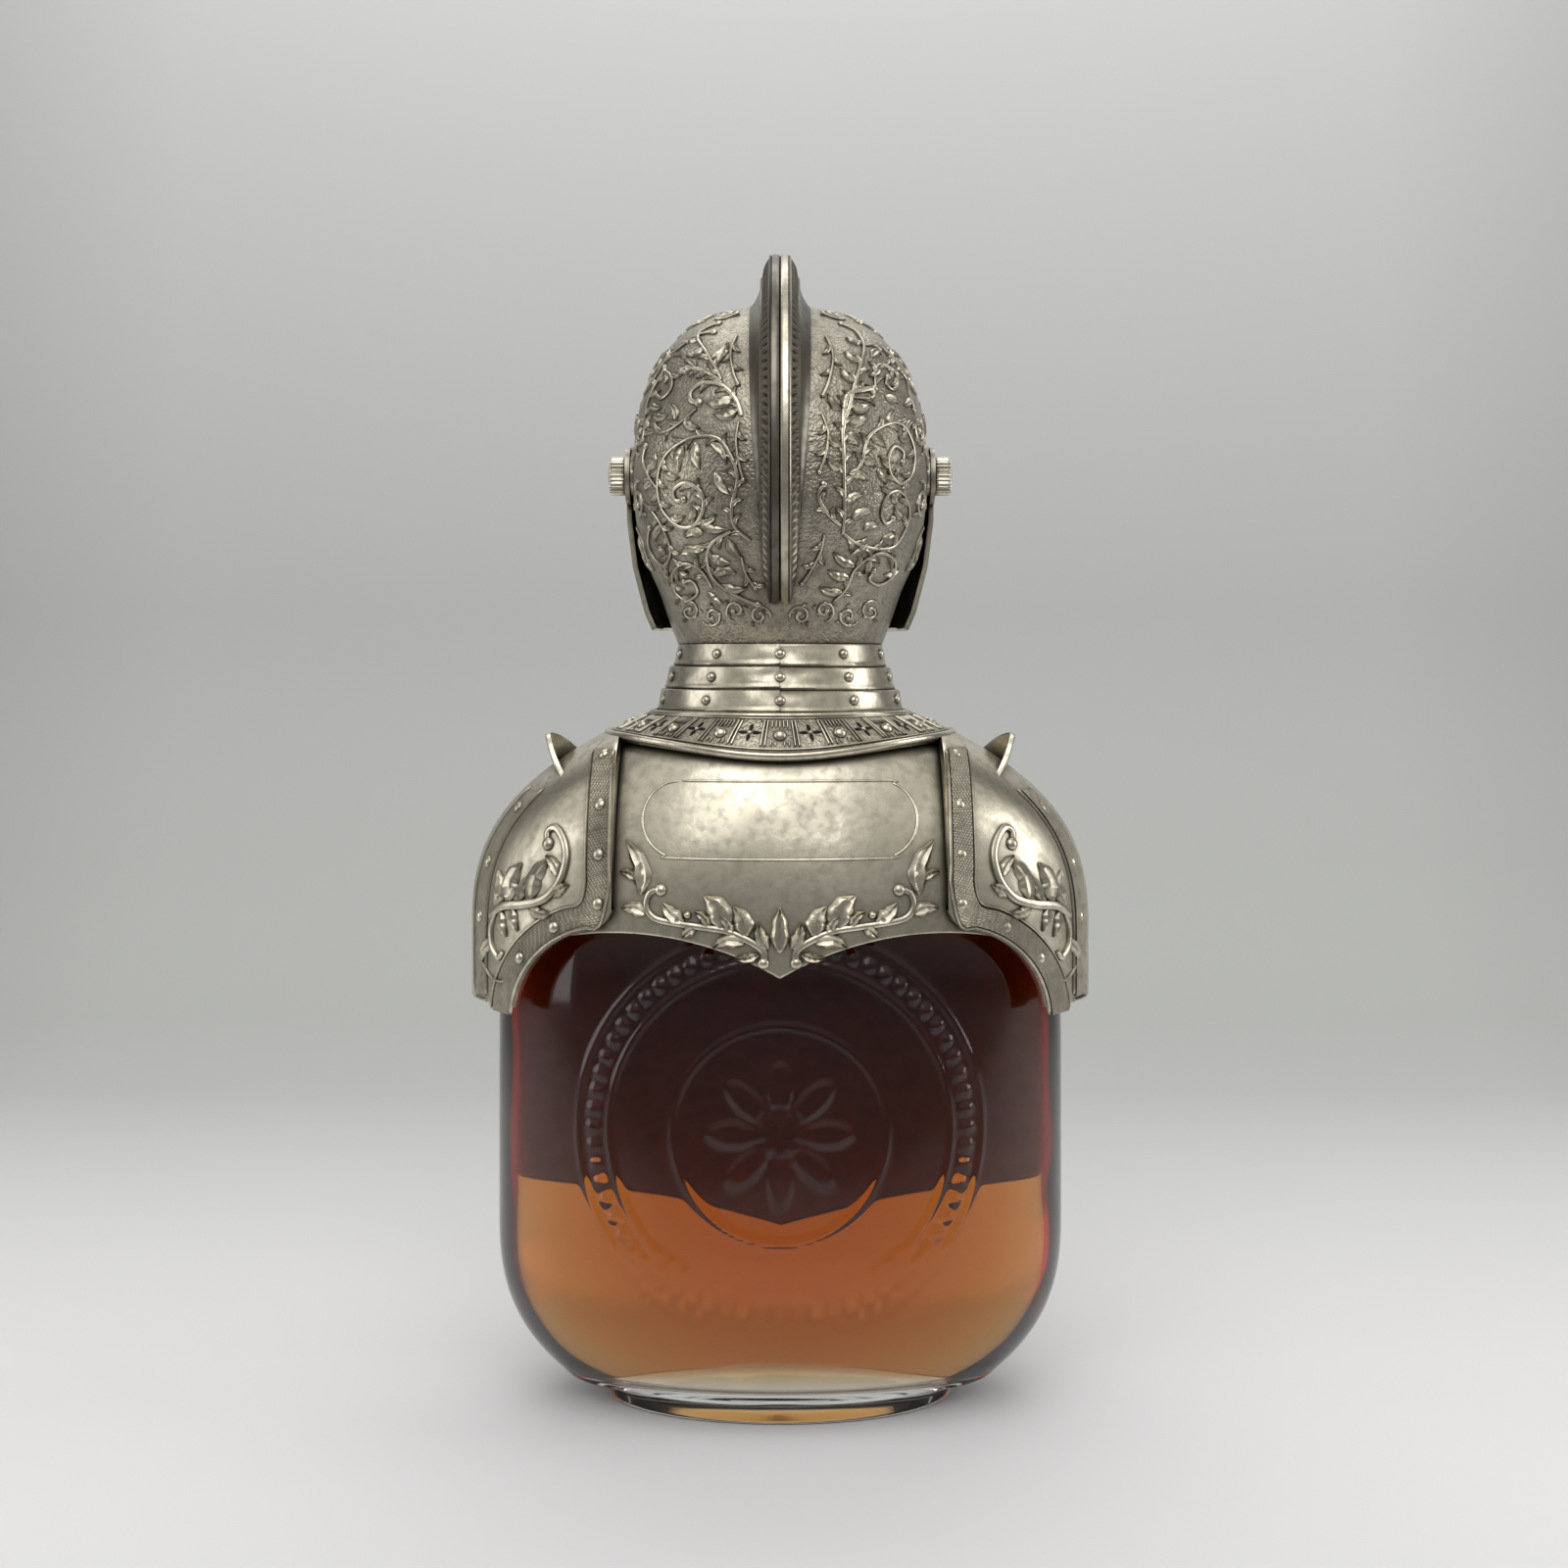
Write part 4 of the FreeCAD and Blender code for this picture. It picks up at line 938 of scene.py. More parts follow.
@dataclass
class Collar:
    """The patterned band round the neckline, with its studs."""

    cape: CapeForm
    finishes: Finishes
    grow: float = 1.4
    wall: float = 1.2
    drum: Flat = (41.6, 36.2)
    slope: float = 12.0
    seat: float = 162.4
    rim: Flat = (29.9, 29.4)
    hole: float = 22.0
    count: int = 18

    def low(self, turn: float) -> float:
        """Return the height of the band's lower edge at a turn."""
        return halve(lambda height: not self.cape.inside_oval(turn, height, self.grow, self.drum), 110.0,
                     self.seat)

    def band(self, turn: float, up: float) -> Vector:
        """Find a point of the band.

        Args:
            turn: The angle round the neck.
            up: Share of the way up the slope.

        Returns:
            The point, in metres.
        """
        outer = self.cape.point(turn, self.low(turn), self.grow)
        inner = Vector((self.rim[0] * math.cos(turn), self.rim[1] * math.sin(turn), self.seat)) * MM
        wide = mix(math.hypot(outer.x, outer.y), math.hypot(inner.x, inner.y), up)
        flat = outer.lerp(inner, up)
        spread = wide / math.hypot(flat.x, flat.y)
        height = halve(lambda value: not self.narrower(turn, value, flat.xy.length * spread), 110.0,
                       self.seat)
        return Vector((flat.x * spread, flat.y * spread, height * MM))

    def narrower(self, turn: float, height: float, reach: float) -> bool:
        """Return whether the cape at a height is narrower than a reach from the axis."""
        return self.cape.point(turn, height, self.grow).xy.length < reach

    def ground(self) -> Ground:
        """Return the band as a ground drawn on by degrees round and millimetres up its slope."""
        def place(degrees: float, up: float) -> Vector:
            """Return the point at an angle and a way up the slope."""
            return self.band(math.radians(degrees), clamp(up / self.slope, -0.1, 1.0))

        return ground_of(place)

    def build(self) -> None:
        """Make the band, its pattern and the studs."""
        bench = Workbench()
        bench.sheet(180, 16, lambda round_share, up: self.band(2 * math.pi * round_share, up), weld=True)

        def flat(round_share: float, share: float) -> Vector:
            """Return a corner of the flat seat."""
            turn = 2 * math.pi * round_share
            wide = mix(self.rim[0], self.hole, share)
            deep = mix(self.rim[1], self.hole, share)
            return Vector((wide * math.cos(turn), deep * math.sin(turn), self.seat)) * MM

        bench.sheet(180, 4, flat, weld=True)
        bmesh.ops.remove_doubles(bench.bm, verts=bench.bm.verts[:], dist=WELD)
        bench.thicken(self.wall, 0.3)
        bench.piece("collar_shell", self.finishes.stipple, Body.BOTTLE, Slot.PEWTER, ["collar"], sharp=35)
        self.pattern()

    def pattern(self) -> None:
        """Raise the rolled edges, the panels, the flowers and the studs; the flowers' petals are dark pieces
        of painted shade.
        """
        bench = Workbench()
        relief = Relief(bench, self.ground())
        for up, width, rise in ((0.7, 1.9, 1.1), (11.4, 1.5, 0.6), (2.2, 0.5, 0.35), (10.4, 0.5, 0.3)):
            self.hoop(bench, up, width, rise)
        # Painted shade: thin dark leaves stand in for the incised petals of each flower.
        petals = Workbench()
        dark = Relief(petals, self.ground(), 0.1)
        pitch = 360.0 / self.count
        for index in range(self.count):
            middle = (index + 0.5) * pitch
            for reach in (-4.4, -5.6, 4.4, 5.6):
                relief.stem([(middle + reach, up) for up in (2.7, 6.5, 9.9)], 0.5, 0.45, groove=0.0)
            for reach in (-2.7, -1.35, 0.0, 1.35, 2.7):
                relief.stem([(middle + reach, up) for up in (7.4, 8.6, 9.9)], 0.42, 0.4, groove=0.0)
                if abs(reach) > 1.0:
                    relief.stem([(middle + reach, up) for up in (2.8, 3.5, 4.2)], 0.42, 0.4, groove=0.0)
            flower = index * pitch
            relief.bead((flower, 6.3), 0.55, 0.5, 8)
            for across, up in ((4.0, 0.0), (-4.0, 0.0), (0.0, 2.4), (0.0, -2.4)):
                dark.leaf((flower + across * 0.22, 6.3 + up * 0.22), (flower + across, 6.3 + up), 1.1, 0.16,
                          lobes=1)
        bench.piece("collar_pattern", self.finishes.relief, Body.BOTTLE, Slot.PEWTER, outward=True)
        petals.piece("collar_petal_shade", self.finishes.inside, Body.BOTTLE, Slot.PEWTER, outward=True)
        bench = Workbench()
        relief = Relief(bench, self.ground())
        for index in range(self.count):
            relief.bead(((index + 0.5) * pitch, 5.7), 1.5, 1.1, 16)
        bench.piece("collar_stud_heads", self.finishes.relief, Body.BOTTLE, Slot.PEWTER, ["collar_studs"],
                    outward=True)

    def hoop(self, bench: Workbench, up: float, width: float, rise: float) -> None:
        """Raise a rolled line right round the band.

        Args:
            bench: Where it is made.
            up: How far up the slope it lies.
            width: Its width.
            rise: Its height.
        """
        ground = self.ground()
        spots = [ground(2.0 * step, up) for step in range(180)]
        slopes = [(ground(2.0 * step, up + 0.2).point - ground(2.0 * step, up - 0.2).point).normalized()
                  for step in range(180)]

        def place(round_share: float, section: float) -> Vector:
            """Return a corner of the rounded bead."""
            index = round(round_share * 180) % 180
            angle = 2 * math.pi * section
            height = rise * math.sin(angle) if math.sin(angle) > 0 else 0.3 * math.sin(angle)
            side = slopes[index] * math.cos(angle) * width / 2
            return spots[index].point + (side + spots[index].normal * height) * MM

        bench.sheet(180, 10, place, weld=True)


@dataclass
class Pauldron:
    """One shoulder plate with its borders, rivets, leaf scrolls and upstanding fin."""

    cape: CapeForm
    finishes: Finishes
    hand: int
    grow: float = 1.8
    wall: float = 1.6
    inner_edge: float = 37.2
    hem: float = 95.6
    collar_oval: Flat = (40.7, 34.7)
    arch_across: float = 37.5
    arch_height: float = 92.2
    corner: float = 5.0
    arch_radius: float = 23.0
    band: float = 6.0
    band_rise: float = 0.12
    strip_depth: float = 14.0
    strip_half: float = 2.9
    rivet_radius: float = 1.45
    rivet_rise: float = 0.9
    fin_foot: float = 147.0
    fin_out: float = 51.5
    fin_root: float = 51.0
    fin_peak: float = 1.9
    fin_lean: float = 17.0
    fin_wall: float = 1.3

    @property
    def name(self) -> str:
        """Return the side's name."""
        return "left" if self.hand > 0 else "right"

    def flip(self, ground: Ground) -> Ground:
        """Carry a left-hand ground over to this side.

        Args:
            ground: The left-hand ground.

        Returns:
            The ground of this side.
        """
        if self.hand > 0:
            return ground
        swap = Vector((-1, 1, 1))
        return lambda first, second: Spot(ground(first, second).point * swap,
                                          ground(first, second).normal * swap)

    def low(self, turn: float) -> float:
        """Follow the lower edge: the arm arch, then the hem.

        Args:
            turn: The angle round the cape.

        Returns:
            The edge's height.
        """
        across = self.cape.across(turn, self.hem, self.grow)
        reach = clamp(across - self.arch_across, 0.0, self.arch_radius)
        inner = clamp(self.inner_edge + self.corner - across, 0.0, self.corner)
        rounding = self.corner - math.sqrt(self.corner ** 2 - inner ** 2)
        return max(self.hem, self.arch_height + math.sqrt(self.arch_radius ** 2 - reach ** 2)) + rounding

    def high(self, turn: float) -> float:
        """Return the upper edge's height at a turn."""
        def within(height: float) -> bool:
            """Return whether a height is still on the plate."""
            clear = not self.cape.inside_oval(turn, height, self.grow, self.collar_oval)
            return clear and self.cape.across(turn, height, self.grow) > self.inner_edge

        return halve(within, self.low(turn), 162.0)

    def build(self) -> None:
        """Make the plate, its ornament, its rivets and the fin."""
        end = halve(lambda turn: self.high(turn) - self.low(turn) > 0.6, 0.2, 1.3)

        def place(across: float, up: float) -> Vector:
            """Return a corner of the plate."""
            turn = mix(-end, end, across)
            point = self.cape.point(turn, mix(self.low(turn), self.high(turn), up), self.grow)
            return Vector((point.x * self.hand, point.y, point.z))

        bench = Workbench()
        bench.sheet(140, 64, place)
        if self.hand < 0:
            bench.turn_over()
        bench.thicken(self.wall, 0.35)
        bench.piece(f"{self.name}_pauldron_shell", self.finishes.pewter, Body.BOTTLE, Slot.PEWTER,
                    [f"{self.name}_pauldron"])
        self.borders()
        self.ornament()
        self.rivets()
        self.fin()

    def edge_line(self, inset: float) -> list[Flat]:
        """Draw the line that runs beside the inner edge and round the arch.

        Args:
            inset: How far inside the edge it runs.

        Returns:
            Places along the line.
        """
        radius = self.arch_radius + inset
        across = self.inner_edge + inset
        line = [(across, height) for height in range(154, 119, -5)]
        for degrees in range(84, 3, -8):
            turn = math.radians(degrees)
            place = (self.arch_across + radius * math.cos(turn), self.arch_height + radius * math.sin(turn))
            if place[0] > across + 1.0:
                line.append(place)
        return line

    def borders(self) -> None:
        """Raise the hatched border bands and the lines beside them."""
        bench = Workbench()
        lines = Workbench()
        for side in (1, -1):
            ground = self.flip(self.cape.face(self.grow, side))
            inner = smooth_route(self.edge_line(1.0), 1.0)
            outer = smooth_route(self.edge_line(self.band - 0.6), 1.0)

            def place(across: float, along: float) -> Vector:
                """Return a corner of the band round the edge."""
                first = inner[round(along * (len(inner) - 1))]
                last = outer[round(along * (len(outer) - 1))]
                spot = ground(mix(first[0], last[0], across), mix(first[1], last[1], across))
                return spot.point + spot.normal * self.band_rise * MM

            bench.sheet(8, 90, place, span=(self.band, 70.0))
            relief = Relief(lines, ground)
            relief.stem(self.edge_line(0.6), 0.9, 0.6, groove=0.0, step=1.0)
            relief.stem(self.edge_line(self.band), 0.7, 0.5, groove=0.0, step=1.0)
        ground = self.cape.flank(self.grow, self.hand)
        flank = Relief(lines, ground)
        for side in (1, -1):
            for depth in (10.6, 17.4):
                flank.stem([(side * depth, height) for height in range(97, 146, 6)], 0.7, 0.5, groove=0.0,
                           step=1.2)
            foot = [(side * self.strip_depth + 3.4 * step, 96.0) for step in (-1, 0, 1)]
            flank.stem(foot, 0.7, 0.5, groove=0.0)

            def strip(across: float, along: float) -> Vector:
                """Return a corner of the band down the side."""
                offset = mix(-self.strip_half, self.strip_half, across)
                spot = ground(side * self.strip_depth + offset, mix(97.0, 144.0, along))
                return spot.point + spot.normal * self.band_rise * MM

            bench.sheet(8, 60, strip, span=(self.band, 48.0))
        bench.thicken(0.5, 0.05)
        bench.piece(f"{self.name}_pauldron_bands", self.finishes.hatch, Body.BOTTLE, Slot.PEWTER,
                    outward=True)
        lines.piece(f"{self.name}_pauldron_lines", self.finishes.relief, Body.BOTTLE, Slot.PEWTER,
                    outward=True)

    def ornament(self) -> None:
        """Raise the leaf scrolls on the back and the front of the plate."""
        bench = Workbench()
        for side in (1, -1):
            relief = Relief(bench, self.flip(self.cape.face(self.grow, side)))
            relief.stem([(66.6, 115.6), (62.9, 118.3), (57.9, 119.2), (52.8, 120.8), (49.3, 124.7),
                         (47.7, 129.8), (48.3, 133.7), (50.4, 136.6), (52.3, 135.6), (52.2, 133.4)],
                        2.3, 1.1, (1.0, 0.8))
            relief.bead((52.1, 133.0), 1.6, 1.2)
            relief.stem([(64.7, 117.0), (66.2, 113.4), (66.0, 109.0), (64.2, 106.6), (62.8, 108.2)], 1.7, 0.9)
            for root, tip, width, bend in (
                    ((61.5, 119.4), (58.4, 128.6), 6.0, -0.12), ((56.3, 119.9), (51.4, 130.2), 5.0, -0.12),
                    ((50.8, 121.4), (46.9, 124.4), 3.2, -0.1), ((56.4, 118.6), (50.8, 117.6), 3.2, 0.12),
                    ((64.9, 118.0), (64.2, 126.4), 4.2, 0.1), ((49.4, 126.0), (52.6, 130.6), 3.0, 0.1),
                    ((60.4, 118.4), (59.2, 113.0), 3.0, 0.1), ((63.4, 117.4), (62.0, 111.4), 3.0, 0.1),
                    ((65.8, 110.6), (68.6, 104.6), 3.0, 0.1), ((59.0, 119.6), (55.4, 126.0), 3.4, -0.1)):
                relief.leaf(root, tip, width, 1.1, bend)
            relief.stem([(69.6, 106.0), (66.0, 101.6), (62.6, 101.2)], 0.9, 0.6, groove=0.0)
        bench.piece(f"{self.name}_pauldron_ornament", self.finishes.relief, Body.BOTTLE, Slot.PEWTER,
                    outward=True)

    def rivets(self) -> None:
        """Set the domed rivets along the borders."""
        bench = Workbench()
        for side in (1, -1):
            relief = Relief(bench, self.flip(self.cape.face(self.grow, side)))
            places = [(40.2, 120.5 + 10.8 * index) for index in range(4)]
            for degrees in (60, 35):
                turn = math.radians(degrees)
                places.append((self.arch_across + 26 * math.cos(turn),
                               self.arch_height + 26 * math.sin(turn)))
            for place in places:
                relief.bead(place, self.rivet_radius, self.rivet_rise, 16)
            flank = Relief(bench, self.cape.flank(self.grow, self.hand))
            for index in range(3):
                flank.bead((side * self.strip_depth, 115.0 + 12.6 * index), self.rivet_radius,
                           self.rivet_rise, 16)
        bench.piece(f"{self.name}_rivet_heads", self.finishes.relief, Body.BOTTLE, Slot.PEWTER,
                    [f"{self.name}_pauldron_rivets"], outward=True)

    def fin(self) -> None:
        """Make the pointed fin that stands on the shoulder."""
        lean = math.radians(self.fin_lean)
        outline = ((-19.0, 0.0), (-13.7, 3.15), (-6.65, 6.5), (self.fin_peak, 10.5), (7.6, 7.35),
                   (13.7, 3.57), (19.0, 0.0))
        crest = smooth_route(outline, 0.6)

        def place(along: float, up: float) -> Vector:
            """Return a corner of the fin."""
            depth, rise = crest[round(along * (len(crest) - 1))]

            def under(height: float) -> bool:
                """Return whether a height is still inside the shoulder."""
                wide, deep = self.cape.radii(height, self.grow)
                return wide * math.sqrt(max(0.0, 1 - (depth / deep) ** 2)) > self.fin_root

            top = self.fin_foot + rise * math.cos(lean) + 0.2
            height = mix(min(halve(under, 110.0, 160.0) - 1.0, top), top, up)
            ahead = depth - self.fin_peak
            curl = 2.8 * (ahead / 17.1) ** 2 if ahead > 0 else 5.6 * (1 - math.exp(ahead / 6.0))
            out = self.fin_out + (height - self.fin_foot) * math.tan(lean) - curl
            return Vector((self.hand * out, depth, height)) * MM

        bench = Workbench()
        bench.sheet(len(crest) - 1, 8, place)
        if self.hand > 0:
            bench.turn_over()
        bench.thicken(self.fin_wall, 0.3)
        bench.piece(f"{self.name}_fin_plate", self.finishes.pewter, Body.BOTTLE, Slot.PEWTER,
                    [f"{self.name}_shoulder_fin"], outward=True)


@dataclass
class Flask:
    """The clear oval flask with its foot, neck and embossed back, and the liquor in it."""

    finishes: Finishes
    half_width: float = 66.9
    half_depth: float = 38.0
    heel_line: float = 44.0
    heel_height: float = 38.5
    heel_draw: float = 16.5
    shoulder_line: float = 70.0
    shoulder_height: float = 86.0
    neck: float = 15.0
    bore: float = 11.5
    wall: float = 3.0
    floor: float = 9.0
    push_up: float = 6.5
    level: float = 150.0
    badge_height: float = 69.5
    badge_radius: float = 42.0

    def radii(self, height: float, floor: float = 5.5) -> Flat:
        """Measure the body at a height.

        Args:
            height: Where it is measured.
            floor: Where the heel ends.

        Returns:
            Half the width and half the depth.
        """
        if height < self.heel_line:
            drawn = self.heel_draw * clamp((self.heel_line - height) / (self.heel_line - floor)) ** 2.8
            return self.half_width - drawn, self.half_depth - drawn
        swell = 1 - clamp((height - self.shoulder_line) / self.shoulder_height) ** 4.5
        return (self.neck + (self.half_width - self.neck) * swell,
                self.neck + (self.half_depth - self.neck) * swell)

    def outer(self) -> list[tuple[float, float, float]]:
        """Draw the outside from the foot to the mouth.

        Returns:
            Half widths, half depths and heights.
        """
        line = [(0.0, 0.0, 1.6), (20.0, 10.0, 1.5), (34.0, 17.5, 1.0), (37.5, 20.0, 0.3), (39.2, 21.6, 0.0),
                (40.2, 22.6, 0.3), (40.7, 23.0, 1.2), (40.7, 23.0, 2.6), (40.6, 22.9, 4.2), (41.2, 23.0, 5.2),
                (44.0, 23.1, 5.5)]
        for step in range(1, 31):
            height = 5.5 + self.heel_height * (step / 30) ** 1.8
            wide, deep = self.radii(height)
            line.append((wide, max(23.2, deep), height))
        count = 130
        for step in range(1, count + 1):
            height = mix(self.heel_line, 148.0, step / count)
            line.append((*self.radii(height), height))
        for height in (150.0, 151.5, 152.8, 153.9, 154.8, 155.5, 156.0):
            wide, deep = self.radii(height)
            line.append((max(wide, self.neck), max(deep, self.neck), height))
        for radius, height in ((15.0, 160.0), (15.0, 166.6), (16.4, 166.9), (17.0, 167.6), (17.0, 168.8),
                               (16.4, 169.3), (15.0, 169.6), (15.0, 176.0), (15.0, 185.0), (14.6, 185.7),
                               (14.0, 186.0)):
            line.append((radius, radius, height))
        return line

    def inner(self, gap: float = 0.0) -> list[tuple[float, float, float]]:
        """Draw the inside from the mouth down to the floor.

        Args:
            gap: How far it is grown.

        Returns:
            Half widths, half depths and heights.
        """
        line = [(self.bore + gap, self.bore + gap, height) for height in (185.0, 170.0, 158.0)]
        for step in range(41):
            height = mix(153.0, self.heel_line, (step / 40) ** 0.8)
            wide, deep = self.radii(height)
            line.append((max(self.bore, wide - self.wall) + gap, max(self.bore, deep - self.wall) + gap,
                         height))
        for step in range(1, 25):
            height = mix(self.heel_line, self.floor - gap, (step / 24) ** 0.7)
            wide, deep = self.radii(height, self.floor - gap)
            line.append((wide - self.wall + gap, deep - self.wall + gap, height))
        for step in range(11):
            share = 1 - step / 10
            rise = self.push_up * (1 - share ** 2.2)
            line.append((44.0 * share, 17.0 * share, self.floor - gap + rise))
        return line

    def turns(self) -> list[float]:
        """Return the turns of the columns, close together over the embossed back."""
        back = [math.acos(mix(48.0, -48.0, step / 190) / self.half_width) for step in range(191)]
        first = back[0]
        rest = [mix(math.pi - first, 2 * math.pi + first, step / 70) for step in range(1, 71)]
        return back + rest

    def badge(self, across: float, height: float) -> float:
        """Emboss the beaded ring and the rosette on the back.

        Args:
            across: Distance from the middle.
            height: Height of the place.

        Returns:
            How far the glass is raised there.
        """
        up = height - self.badge_height
        reach = math.hypot(across, up)
        if reach > self.badge_radius + 6:
            return 0.0
        turn = math.atan2(up, across)
        rise = 0.0
        for radius, strength in ((self.badge_radius + 3.6, 0.5), (self.badge_radius - 3.6, 0.5), (24.0, 0.4)):
            rise += strength * math.exp(-((reach - radius) / 0.6) ** 2)
        pitch = 2 * math.pi / 64
        nearest = round(turn / pitch) * pitch
        gap = math.dist((across, up), (self.badge_radius * math.cos(nearest),
                                       self.badge_radius * math.sin(nearest)))
        rise += 0.7 * math.sqrt(max(0.0, 1 - (gap / 1.7) ** 2))
        petal = 17.0 * abs(math.cos(4 * turn)) ** 0.6
        rise += 0.55 * ease((petal - reach) / 2.0) * (1 - 0.5 * math.exp(-((reach - 5.5) / 0.7) ** 2))
        return rise

    def build(self) -> None:
        """Make the flask and the liquor."""
        line = self.outer() + self.inner()
        turns = self.turns()
        outside = len(self.outer())

        def place(round_share: float, up: float) -> Vector:
            """Return a corner of the glass."""
            row = round(up * (len(line) - 1))
            turn = turns[round(round_share * (len(turns) - 1))]
            wide, deep, height = line[row]
            point = Vector((wide * math.cos(turn), deep * math.sin(turn), height))
            if row < outside and 20 < height < 122 and math.sin(turn) > 0:
                slope = Vector((math.cos(turn) / wide, math.sin(turn) / deep, 0.0)).normalized()
                point += slope * self.badge(point.x, height)
            return point * MM

        bench = Workbench()
        bench.sheet(len(turns) - 1, len(line) - 1, place, weld=True)
        flask = bench.piece("flask_glass", self.finishes.glass, Body.BOTTLE, Slot.GLASS, ["glass_bottle"],
                            sharp=70)
        flask.data.materials.append(self.finishes.wet_glass)
        for face in flask.data.polygons:
            wide, deep = (radius - self.wall / 2 for radius in self.radii(face.center.z / MM, self.floor))
            inside = math.hypot(face.center.x / MM / wide, face.center.y / MM / deep) < 1
            face.material_index = int(inside and self.floor - 1.0 < face.center.z / MM < self.level)
        fill = [station for station in self.inner(0.12) if station[2] <= self.level]
        wide, deep = (radius - self.wall + 0.12 for radius in self.radii(self.level))
        fill = [(0.0, 0.0, self.level), (wide * 0.5, deep * 0.5, self.level), (wide, deep, self.level), *fill]

        def fill_place(round_share: float, down: float) -> Vector:
            """Return a corner of the liquor."""
            wide, deep, height = fill[round(down * (len(fill) - 1))]
            turn = -2 * math.pi * round_share
            return Vector((wide * math.cos(turn), deep * math.sin(turn), height)) * MM

        bench = Workbench()
        bench.sheet(160, len(fill) - 1, fill_place, weld=True)
        bench.piece("liquor_body", self.finishes.liquor, Body.BOTTLE, Slot.LIQUOR, ["liquor_fill"], sharp=60,
                    outward=True)


@dataclass(frozen=True)
class SkullForm:
    """The helmet's bowl: a full drum on a nape that narrows to the gorget."""

    centre: float = 218.2
    half_width: float = 34.8
    radius: float = 40.2
    power: float = 2.45
    nape_low: float = 178.3
    nape_high: float = 212.0
    nape_radius: float = 24.35
    nape_wide: float = 33.6
    nape_deep: float = 38.6

    def nape(self, height: float) -> Flat:
        """Return the nape's half width and half depth at a height."""
        share = clamp((height - self.nape_low) / (self.nape_high - self.nape_low))
        fill = 1 - (1 - share) ** 1.45
        return mix(self.nape_radius, self.nape_wide, fill), mix(self.nape_radius, self.nape_deep, fill)

    def reach(self, way: Vector) -> float:
        """Measure the bowl in a direction.

        Args:
            way: The direction from the centre.

        Returns:
            How far the surface is from the centre.
        """
        drum = ((abs(way.x) / self.half_width) ** self.power
                + (math.hypot(way.y, way.z) / self.radius) ** self.power) ** (-1 / self.power)
        if way.z > -0.1:
            return drum

        def within(reach: float) -> bool:
            """Return whether a reach is still inside the nape."""
            wide, deep = self.nape(self.centre + reach * way.z)
            return (reach * way.x / wide) ** 2 + (reach * way.y / deep) ** 2 < 1

        start = (self.centre - self.nape_high) / -way.z
        nape = halve(within, start, (self.centre - self.nape_low) / -way.z) if within(start) else 0.0
        lead = clamp(0.5 + (nape - drum) / 3.0)
        return mix(drum, nape, lead) + 0.75 * lead * (1 - lead)

    def point(self, way: Vector) -> Vector:
        """Return the surface's point in a direction."""
        return (Vector((0, 0, self.centre)) + way * self.reach(way)) * MM

    def ring(self, across: float) -> float:
        """Return the drum's radius at a distance from the middle."""
        return self.radius * max(0.0, 1 - (abs(across) / self.half_width) ** self.power) ** (1 / self.power)

    def holds(self, place: Flat) -> bool:
        """Tell whether a place drawn on the back lies well inside its outline."""
        across, height = place
        if height < self.nape_high:
            return 2.5 < across < self.nape(height)[0] - 2.0 and height > self.nape_low + 2.0
        return across < self.half_width - 3.0 and abs(height - self.centre) < self.ring(across) - 3.0

    def back(self, hand: int) -> Ground:
        """Return the back of one half as a ground drawn on by width and height."""
        def place(across: float, height: float) -> Vector:
            """Return the point at a distance across and a height."""
            drum = math.sqrt(max(0.0, self.ring(across) ** 2 - (height - self.centre) ** 2))
            wide, deep = self.nape(height)
            nape = deep * math.sqrt(max(0.0, 1 - (across / wide) ** 2)) if height < self.nape_high else 0.0
            lead = clamp(0.5 + (nape - drum) / 3.0)
            depth = mix(drum, nape, lead) + 0.75 * lead * (1 - lead)
            return Vector((hand * across, depth, height)) * MM

        return ground_of(place, -hand)

    def side(self, hand: int) -> Ground:
        """Return the side of one half as a ground drawn on by depth and height."""
        def place(back: float, height: float) -> Vector:
            """Return the point at a depth and a height."""
            reach = min(1.0, math.hypot(back, height - self.centre) / self.radius)
            return Vector((hand * self.half_width * (1 - reach ** self.power) ** (1 / self.power), back,
                           height)) * MM

        return ground_of(place, hand)

    def crown(self, hand: int) -> Ground:
        """Return the crown of one half as a ground drawn on by width and depth."""
        def place(across: float, back: float) -> Vector:
            """Return the point at a distance across and a depth."""
            rise = math.sqrt(max(0.0, self.ring(across) ** 2 - back * back))
            return Vector((hand * across, back, self.centre + rise)) * MM

        return ground_of(place, hand)


@dataclass(frozen=True)
class Vine:
    """A stem of the skull's ornament that ends in a bud."""

    route: tuple[Flat, ...]
    width: float = 1.2
    bud: float = 0.9


@dataclass(frozen=True)
class Frond:
    """A leaf of the skull's ornament."""

    root: Flat
    tip: Flat
    width: float = 2.6
    bend: float = 0.14


